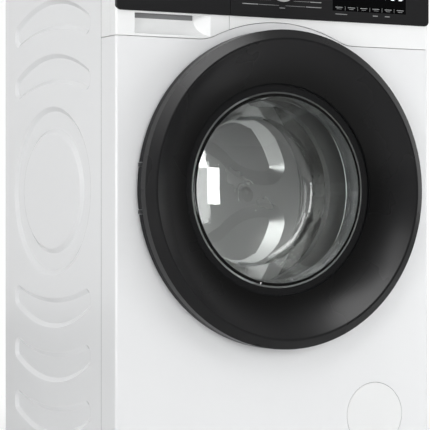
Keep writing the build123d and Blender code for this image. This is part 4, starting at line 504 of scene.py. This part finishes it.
def ring_shell(centre, along, profile, points, wall):
    """A turned skin: a circle drawn out along an axis through (radius, station) pairs, then given a wall."""
    axis = Vector(along)
    turn = axis.to_track_quat("Z", "Y").to_euler()
    radius, station = profile[0]
    start()
    bpy.ops.mesh.primitive_circle_add(
        vertices=points, radius=radius, location=Vector(centre) + axis * station, rotation=turn
    )
    freeze()
    edit()
    for wide, far in profile[1:]:
        step = axis * (far - station)
        bpy.ops.mesh.extrude_region_move(TRANSFORM_OT_translate={"value": step})
        share = wide / radius
        spread = [1 + (share - 1) * (1 - abs(a)) for a in axis]
        bpy.ops.transform.resize(value=spread, center_override=Vector(centre) + axis * far)
        radius, station = wide, far
    bpy.ops.mesh.select_all(action="SELECT")
    bpy.ops.mesh.remove_doubles(threshold=0.00001)
    bpy.ops.mesh.normals_make_consistent(inside=False)
    bpy.ops.object.mode_set(mode="OBJECT")
    if wall:
        skin = bpy.context.object.modifiers.new("wall", "SOLIDIFY")
        skin.thickness = wall
        skin.offset = -1
        bpy.ops.object.modifier_apply(modifier="wall")


def corrugated(low, high, folds):
    """Half waves of a corrugated hose between two plain cuffs, as (radius, station) pairs."""
    valley = HOSE_BORE + HOSE_WALL
    crest = valley + FOLD_HEIGHT
    pitch = (high - low - 2 * HOSE_CUFF) / folds
    pairs = [(valley, low), (valley, low + HOSE_CUFF)]
    for fold in range(folds):
        foot = low + HOSE_CUFF + fold * pitch
        for share, fall in FOLD_SHAPE:
            pairs.append((crest - fall, foot + pitch * share))
        pairs.append((valley, foot + pitch))
    return pairs + [(valley, high)]


def hose(name, x, y, low, high, folds):
    """An upright corrugated hose of black rubber between two heights."""
    ring_shell((x, y, 0), (0, 0, 1), corrugated(low, high, folds), HOSE_ROUND, HOSE_WALL)
    return settle(name, FINISHES["hose_rubber"], RUBBER_ANGLE)


def slab(place, size, edge):
    """A thin plate about a middle, its edges rounded off."""
    start()
    bpy.ops.mesh.primitive_cube_add(size=1, location=place)
    bpy.context.object.scale = size
    freeze()
    edit()
    bpy.ops.mesh.bevel(offset=edge, segments=2)
    bpy.ops.object.mode_set(mode="OBJECT")
    return bpy.context.object


def marks(name, material, face, bars, body):
    """Flat printed bars with clipped corners, one (x, z, wide, high) each, on a face that looks forward."""
    made = []
    for x, z, wide, high in bars:
        start()
        bpy.ops.mesh.primitive_plane_add(size=1, location=(x, face, z), rotation=(math.pi / 2, 0, 0))
        bpy.context.object.scale = (wide, high, 1)
        freeze()
        edit()
        bpy.ops.mesh.bevel(offset=min(wide, high) * 0.35, segments=2, affect="VERTICES")
        bpy.ops.object.mode_set(mode="OBJECT")
        made.append(bpy.context.object)
    joined(made)
    piece = settle(name, material)
    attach(piece, body)


# Tub springs: close wound coils with an eye at each end, hung between the top braces and the tub.
coils = []
for side in (-SPRING_X, SPRING_X):
    start()
    bpy.ops.mesh.primitive_circle_add(
        vertices=8, radius=WIRE_RADIUS, location=(COIL_RADIUS, 0, 0), rotation=(math.pi / 2, 0, 0)
    )
    freeze()
    wind = bpy.context.object.modifiers.new("wind", "SCREW")
    wind.axis = "Z"
    wind.screw_offset = COIL_LENGTH / COIL_TURNS
    wind.iterations = COIL_TURNS
    wind.steps = 20
    wind.render_steps = 20
    wind.use_merge_vertices = False
    bpy.ops.object.modifier_apply(modifier="wind")
    bpy.ops.transform.translate(value=(side, SPRING_Y, COIL_FOOT))
    freeze()
    coils.append(bpy.context.object)
    for height in EYE_HEIGHTS:
        start()
        bpy.ops.mesh.primitive_torus_add(
            major_radius=EYE_RADIUS,
            minor_radius=WIRE_RADIUS,
            major_segments=28,
            minor_segments=8,
            location=(side, SPRING_Y, height),
            rotation=(math.pi / 2, 0, 0),
        )
        freeze()
        coils.append(bpy.context.object)
joined(coils)
springs = settle("tub_spring_coils", FINISHES["spring_steel"])
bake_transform(springs)
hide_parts("suspension_springs")

# Dispenser hose: corrugated rubber between the dispenser's outlet and the tub.
dispenser = hose("dispenser_hose_skin", -0.2, -0.064, low=0.644, high=0.714, folds=5)
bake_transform(dispenser)
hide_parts("dispenser_hose")

# Sump hose: corrugated rubber between the tub's sump and the drain pump.
sump = hose("sump_hose_skin", 0.165, -0.125, low=0.136, high=0.239, folds=8)
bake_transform(sump)
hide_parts("sump_hose")

# Door gasket: a soft bellows with a rolled lip that the bowl glass seals against.
ring_shell((0, 0, PORT_Z), (0, 1, 0), GASKET_ROLL, FINE_ROUND, GASKET_WALL)
gasket = settle("door_gasket_skin", FINISHES["gasket_rubber"], RUBBER_ANGLE)
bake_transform(gasket)
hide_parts("door_gasket")

# Programme knob: a turned cap with a skirt and fine grip flutes round its side.
ring_shell((KNOB_X, KNOB_BACK, KNOB_Z), (0, -1, 0), KNOB_TURN, FINE_ROUND, 0)
bpy.ops.object.mode_set(mode="EDIT")
bpy.ops.mesh.select_all(action="DESELECT")
bpy.ops.object.mode_set(mode="OBJECT")
for face in bpy.context.object.data.polygons:
    height = KNOB_BACK - face.center.y
    face.select = FLUTE_FOOT < height < FLUTE_TOP and face.index % 2 == 0
bpy.ops.object.mode_set(mode="EDIT")
bpy.ops.mesh.inset(thickness=FLUTE_MARGIN, depth=-FLUTE_DEPTH, use_individual=True)
knob = settle("programme_knob_cap", FINISHES["knob_finish"], KNOB_ANGLE)
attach(knob, "knob")
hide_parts("programme_knob")

# Printed fascia marks: pale grey screen print, flat and even with slightly broken ink.
PRINT = finish("pale screen print", "#a2a3a4", "#939495", 0.5, 12, 2, 0.01)
# Lit display segments: cool white light through the smoked lens.
LIT = finish("lit display segment", "#e8f0f4", "#dfe8ee", 0.4, 10, 2, 0.01, Emission_Strength=0.7)
LIT.node_tree.nodes["Principled BSDF"].inputs["Emission Color"].default_value = lin("#e6f2fa")
# Dial pointer: dark filled groove on the plated knob.
INK = finish("dark pointer fill", "#1a1a1b", "#141415", 0.45, 8, 2, 0.01)

# Dial labels and leader lines: plain bars stand for the programmes.
ticks = []
for row in range(DIAL_ROWS):
    rise = DIAL_TOP - row * DIAL_PITCH
    ring = math.sqrt(DIAL_RING**2 - rise**2)
    label = LONG_LABEL if row % 2 else SHORT_LABEL
    end = DIAL_HALF - label - LABEL_GAP
    for hand in (-1, 1):
        ticks.append((KNOB_X + hand * (DIAL_HALF - label / 2), KNOB_Z + rise, label, LABEL_HIGH))
        ticks.append((KNOB_X + hand * (end + ring) / 2, KNOB_Z + rise, end - ring, LEADER_HIGH))
ticks.append((KNOB_X, LOWEST_LABEL_Z, LOWEST_LABEL_WIDE, LABEL_HIGH))
marks("dial_marks", PRINT, PRINT_FACE, ticks, "cabinet")

# Touch keys: a row of short labels under the display, parted by thin lines.
keys = []
for key in range(KEYS):
    for z, wide, high in KEY_ROWS:
        keys.append((KEY_X + key * KEY_PITCH, z, wide, high))
for key in range(KEYS - 1):
    keys.append((KEY_X + KEY_PITCH / 2 + key * KEY_PITCH, *DIVIDER))
marks("touch_key_marks", PRINT, LENS_FACE, keys, "cabinet")

# Start key: three labels under the lens.
starts = [(x, START_Z, wide, high) for x, wide, high in START_LABELS]
marks("start_key_marks", PRINT, PRINT_FACE, starts, "cabinet")

# Time display: three seven segment figures and a colon.
lit = []
for figure, x in FIGURES:
    for bar in SEGMENTS[figure]:
        dx, dz, wide, high = BARS[bar]
        lit.append((x + dx, DISPLAY_Z + dz, wide, high))
for rise in (COLON_HALF, -COLON_HALF):
    lit.append((COLON_X, DISPLAY_Z + rise, COLON_DOT, COLON_DOT))
marks("display_figures", LIT, LENS_FACE, lit, "cabinet")

# Pointer: one short bar near the edge of the knob's face.
marks("knob_pointer", INK, POINTER_FACE, [(KNOB_X, KNOB_Z + POINTER_RISE, *POINTER_SIZE)], "knob")

# Finger slot: a mid grey liner on the back of the drawer's grip, above the white scoop, as painted shade for
# the dark top of the slot.
SLOT_SHADE = finish("painted slot shade", "#868788", "#7b7c7d", 0.55, 30, 3, 0.03)
slab(SLOT_SHADE_PLACE, SLOT_SHADE_SIZE, SLOT_SHADE_EDGE)
slot_shade = settle("drawer_slot_painted_shade", SLOT_SHADE)
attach(slot_shade, "drawer")

# Panel joints: a dark tape strip lies in the open joint between each side panel and the front's return, as
# painted shade for the joint's gap.
JOINT_SHADE = finish("painted joint shade", "#141415", "#101011", 0.8, 30, 3, 0.03, Specular_IOR_Level=0.05)
joined([slab((hand * JOINT_X, JOINT_Y, JOINT_Z), JOINT_SHADE_SIZE, JOINT_SHADE_EDGE) for hand in (-1, 1)])
joint_shade = settle("panel_joint_painted_shade", JOINT_SHADE)
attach(joint_shade, "cabinet")

# Light reaches the drum through the bowl, so the bowl keeps its reflections but throws no shade.
frame["nodes"]["door_glass"].visible_shadow = False

# Floor: white studio floor that keeps the machine's shadow.
start()
bpy.ops.mesh.primitive_plane_add(size=14, location=(0, 0, 0))
floor = bpy.context.object
floor.name = "studio_floor"
paper = bpy.data.materials.new("white studio paper")
paper.use_nodes = True
sheet = paper.node_tree
sheet.nodes.clear()
spot = add(sheet, "ShaderNodeTexCoord").outputs["Object"]
fibre = add(sheet, "ShaderNodeTexNoise", {"Vector": spot, "Scale": 2.0}).outputs[0]
tint = blended(sheet, fibre, lin("#ffffff"), lin("#fbfbfb"))
matt = add(sheet, "ShaderNodeBsdfDiffuse", {0: tint}).outputs[0]
glow = add(sheet, "ShaderNodeEmission", {0: (1, 1, 1, 1), 1: 1.0}).outputs[0]
# Near the machine the paper shows its shadow; further off it runs out into the white surroundings.
far = add(sheet, "ShaderNodeVectorMath", {0: spot}, operation="LENGTH").outputs["Value"]
fade = add(
    sheet,
    "ShaderNodeMapRange",
    {"Value": far, "From Min": 0.3, "From Max": 1.5, "To Min": 0.8},
    interpolation_type="SMOOTHSTEP",
).outputs[0]
both = add(sheet, "ShaderNodeMixShader", {0: fade, 1: matt, 2: glow}).outputs[0]
seen = add(sheet, "ShaderNodeLightPath").outputs["Is Camera Ray"]
pick = add(sheet, "ShaderNodeMixShader", {0: seen, 1: matt, 2: both}).outputs[0]
add(sheet, "ShaderNodeOutputMaterial", {0: pick})
floor.data.materials.append(paper)

# White surroundings: full white to the eye and through glass, softer as a light.
world = bpy.data.worlds.new("white studio")
SCENE.world = world
world.use_nodes = True
tree = world.node_tree
tree.nodes.clear()
rays = add(tree, "ShaderNodeLightPath").outputs
straight = calc(tree, "ADD", rays["Is Camera Ray"], rays["Is Transmission Ray"])
any_ray = calc(tree, "ADD", straight, rays["Is Glossy Ray"], use_clamp=True)
# In reflections the room in front of the machine is dim, so that black and glass keep their depth.
aim = add(tree, "ShaderNodeSeparateXYZ", {0: add(tree, "ShaderNodeTexCoord").outputs["Generated"]})
room = add(
    tree,
    "ShaderNodeMapRange",
    {"Value": aim.outputs[1], "From Min": -0.6, "From Max": 0.3, "To Min": 0.25, "To Max": 1.0},
    interpolation_type="SMOOTHSTEP",
)
bright = calc(tree, "MAXIMUM", room.outputs[0], straight)
level = add(tree, "ShaderNodeMix", {0: any_ray, 2: 0.22, 3: bright})
sky = add(tree, "ShaderNodeBackground", {0: (1, 1, 1, 1), 1: level.outputs[0]})
add(tree, "ShaderNodeOutputWorld", {0: sky.outputs[0]})


def softbox(name, place, aim, wide, high, watts):
    """An area lamp turned towards a point."""
    lamp = bpy.data.lights.new(name, "AREA")
    lamp.shape = "RECTANGLE"
    lamp.size = wide
    lamp.size_y = high
    lamp.energy = watts
    holder = bpy.data.objects.new(name, lamp)
    holder.location = place
    holder.rotation_euler = (Vector(aim) - Vector(place)).to_track_quat("-Z", "Y").to_euler()
    SCENE.collection.objects.link(holder)
    return holder


# Broad light from above the front, and its brighter reflection on the black door.
softbox("key_front_top", (-0.25, -1.75, 2.9), (0, 0, 0.46), 1.9, 1.7, 17)
softbox("key_sheen", (-0.26, -1.82, 3.0), (0, 0, 0.46), 1.9, 1.7, 52).visible_diffuse = False
# Light on the left side and corner, and the bright line that the rounded corner mirrors.
softbox("strip_left", (-2.3, -1.9, 0.9), (0, 0, 0.6), 0.6, 2.4, 21).visible_glossy = False
softbox("corner_sheen", (-2.7, -1.3, 0.6), (0, 0, 0.5), 0.8, 2.4, 60).visible_diffuse = False
softbox("fill_left", (-3.0, 0.4, 1.7), (0, 0, 0.5), 1.2, 1.2, 20).visible_glossy = False
# Fill on the right edge of the front, and fill from the front that reaches into the drum.
softbox("fill_right", (1.1, -0.9, 0.5), (0.2, -0.2, 0.5), 0.5, 0.9, 4.6).visible_glossy = False
softbox("fill_front", (-0.4, -3.3, 0.9), (0, 0, 0.46), 1.4, 1.2, 23).visible_glossy = False
# Small lamp that the bowl mirrors as a bright patch, and a sheen on the upper left of the door's bevel.
softbox("window_glint", (0.632, -1.126, 0.486), (0, -0.104, 0.463), 0.021, 0.024, 0.05)
softbox("sheen_left", (-1.35, -2.5, 2.1), (-0.2, -0.25, 0.55), 0.9, 1.3, 18).visible_diffuse = False

# Camera: level, turned 28 degrees to the machine's front, with the frame slid over its upper part.
view = bpy.data.cameras.new("camera")
view.sensor_width = 36
view.lens = 180.3
view.shift_y = 0.0496
view.clip_end = 100
camera = bpy.data.objects.new("camera", view)
camera.location = (-1.791, -3.312, 0.386)
camera.rotation_euler = (math.radians(90), 0, math.radians(-28.36))
SCENE.collection.objects.link(camera)
SCENE.camera = camera
SCENE.view_settings.view_transform = "Standard"
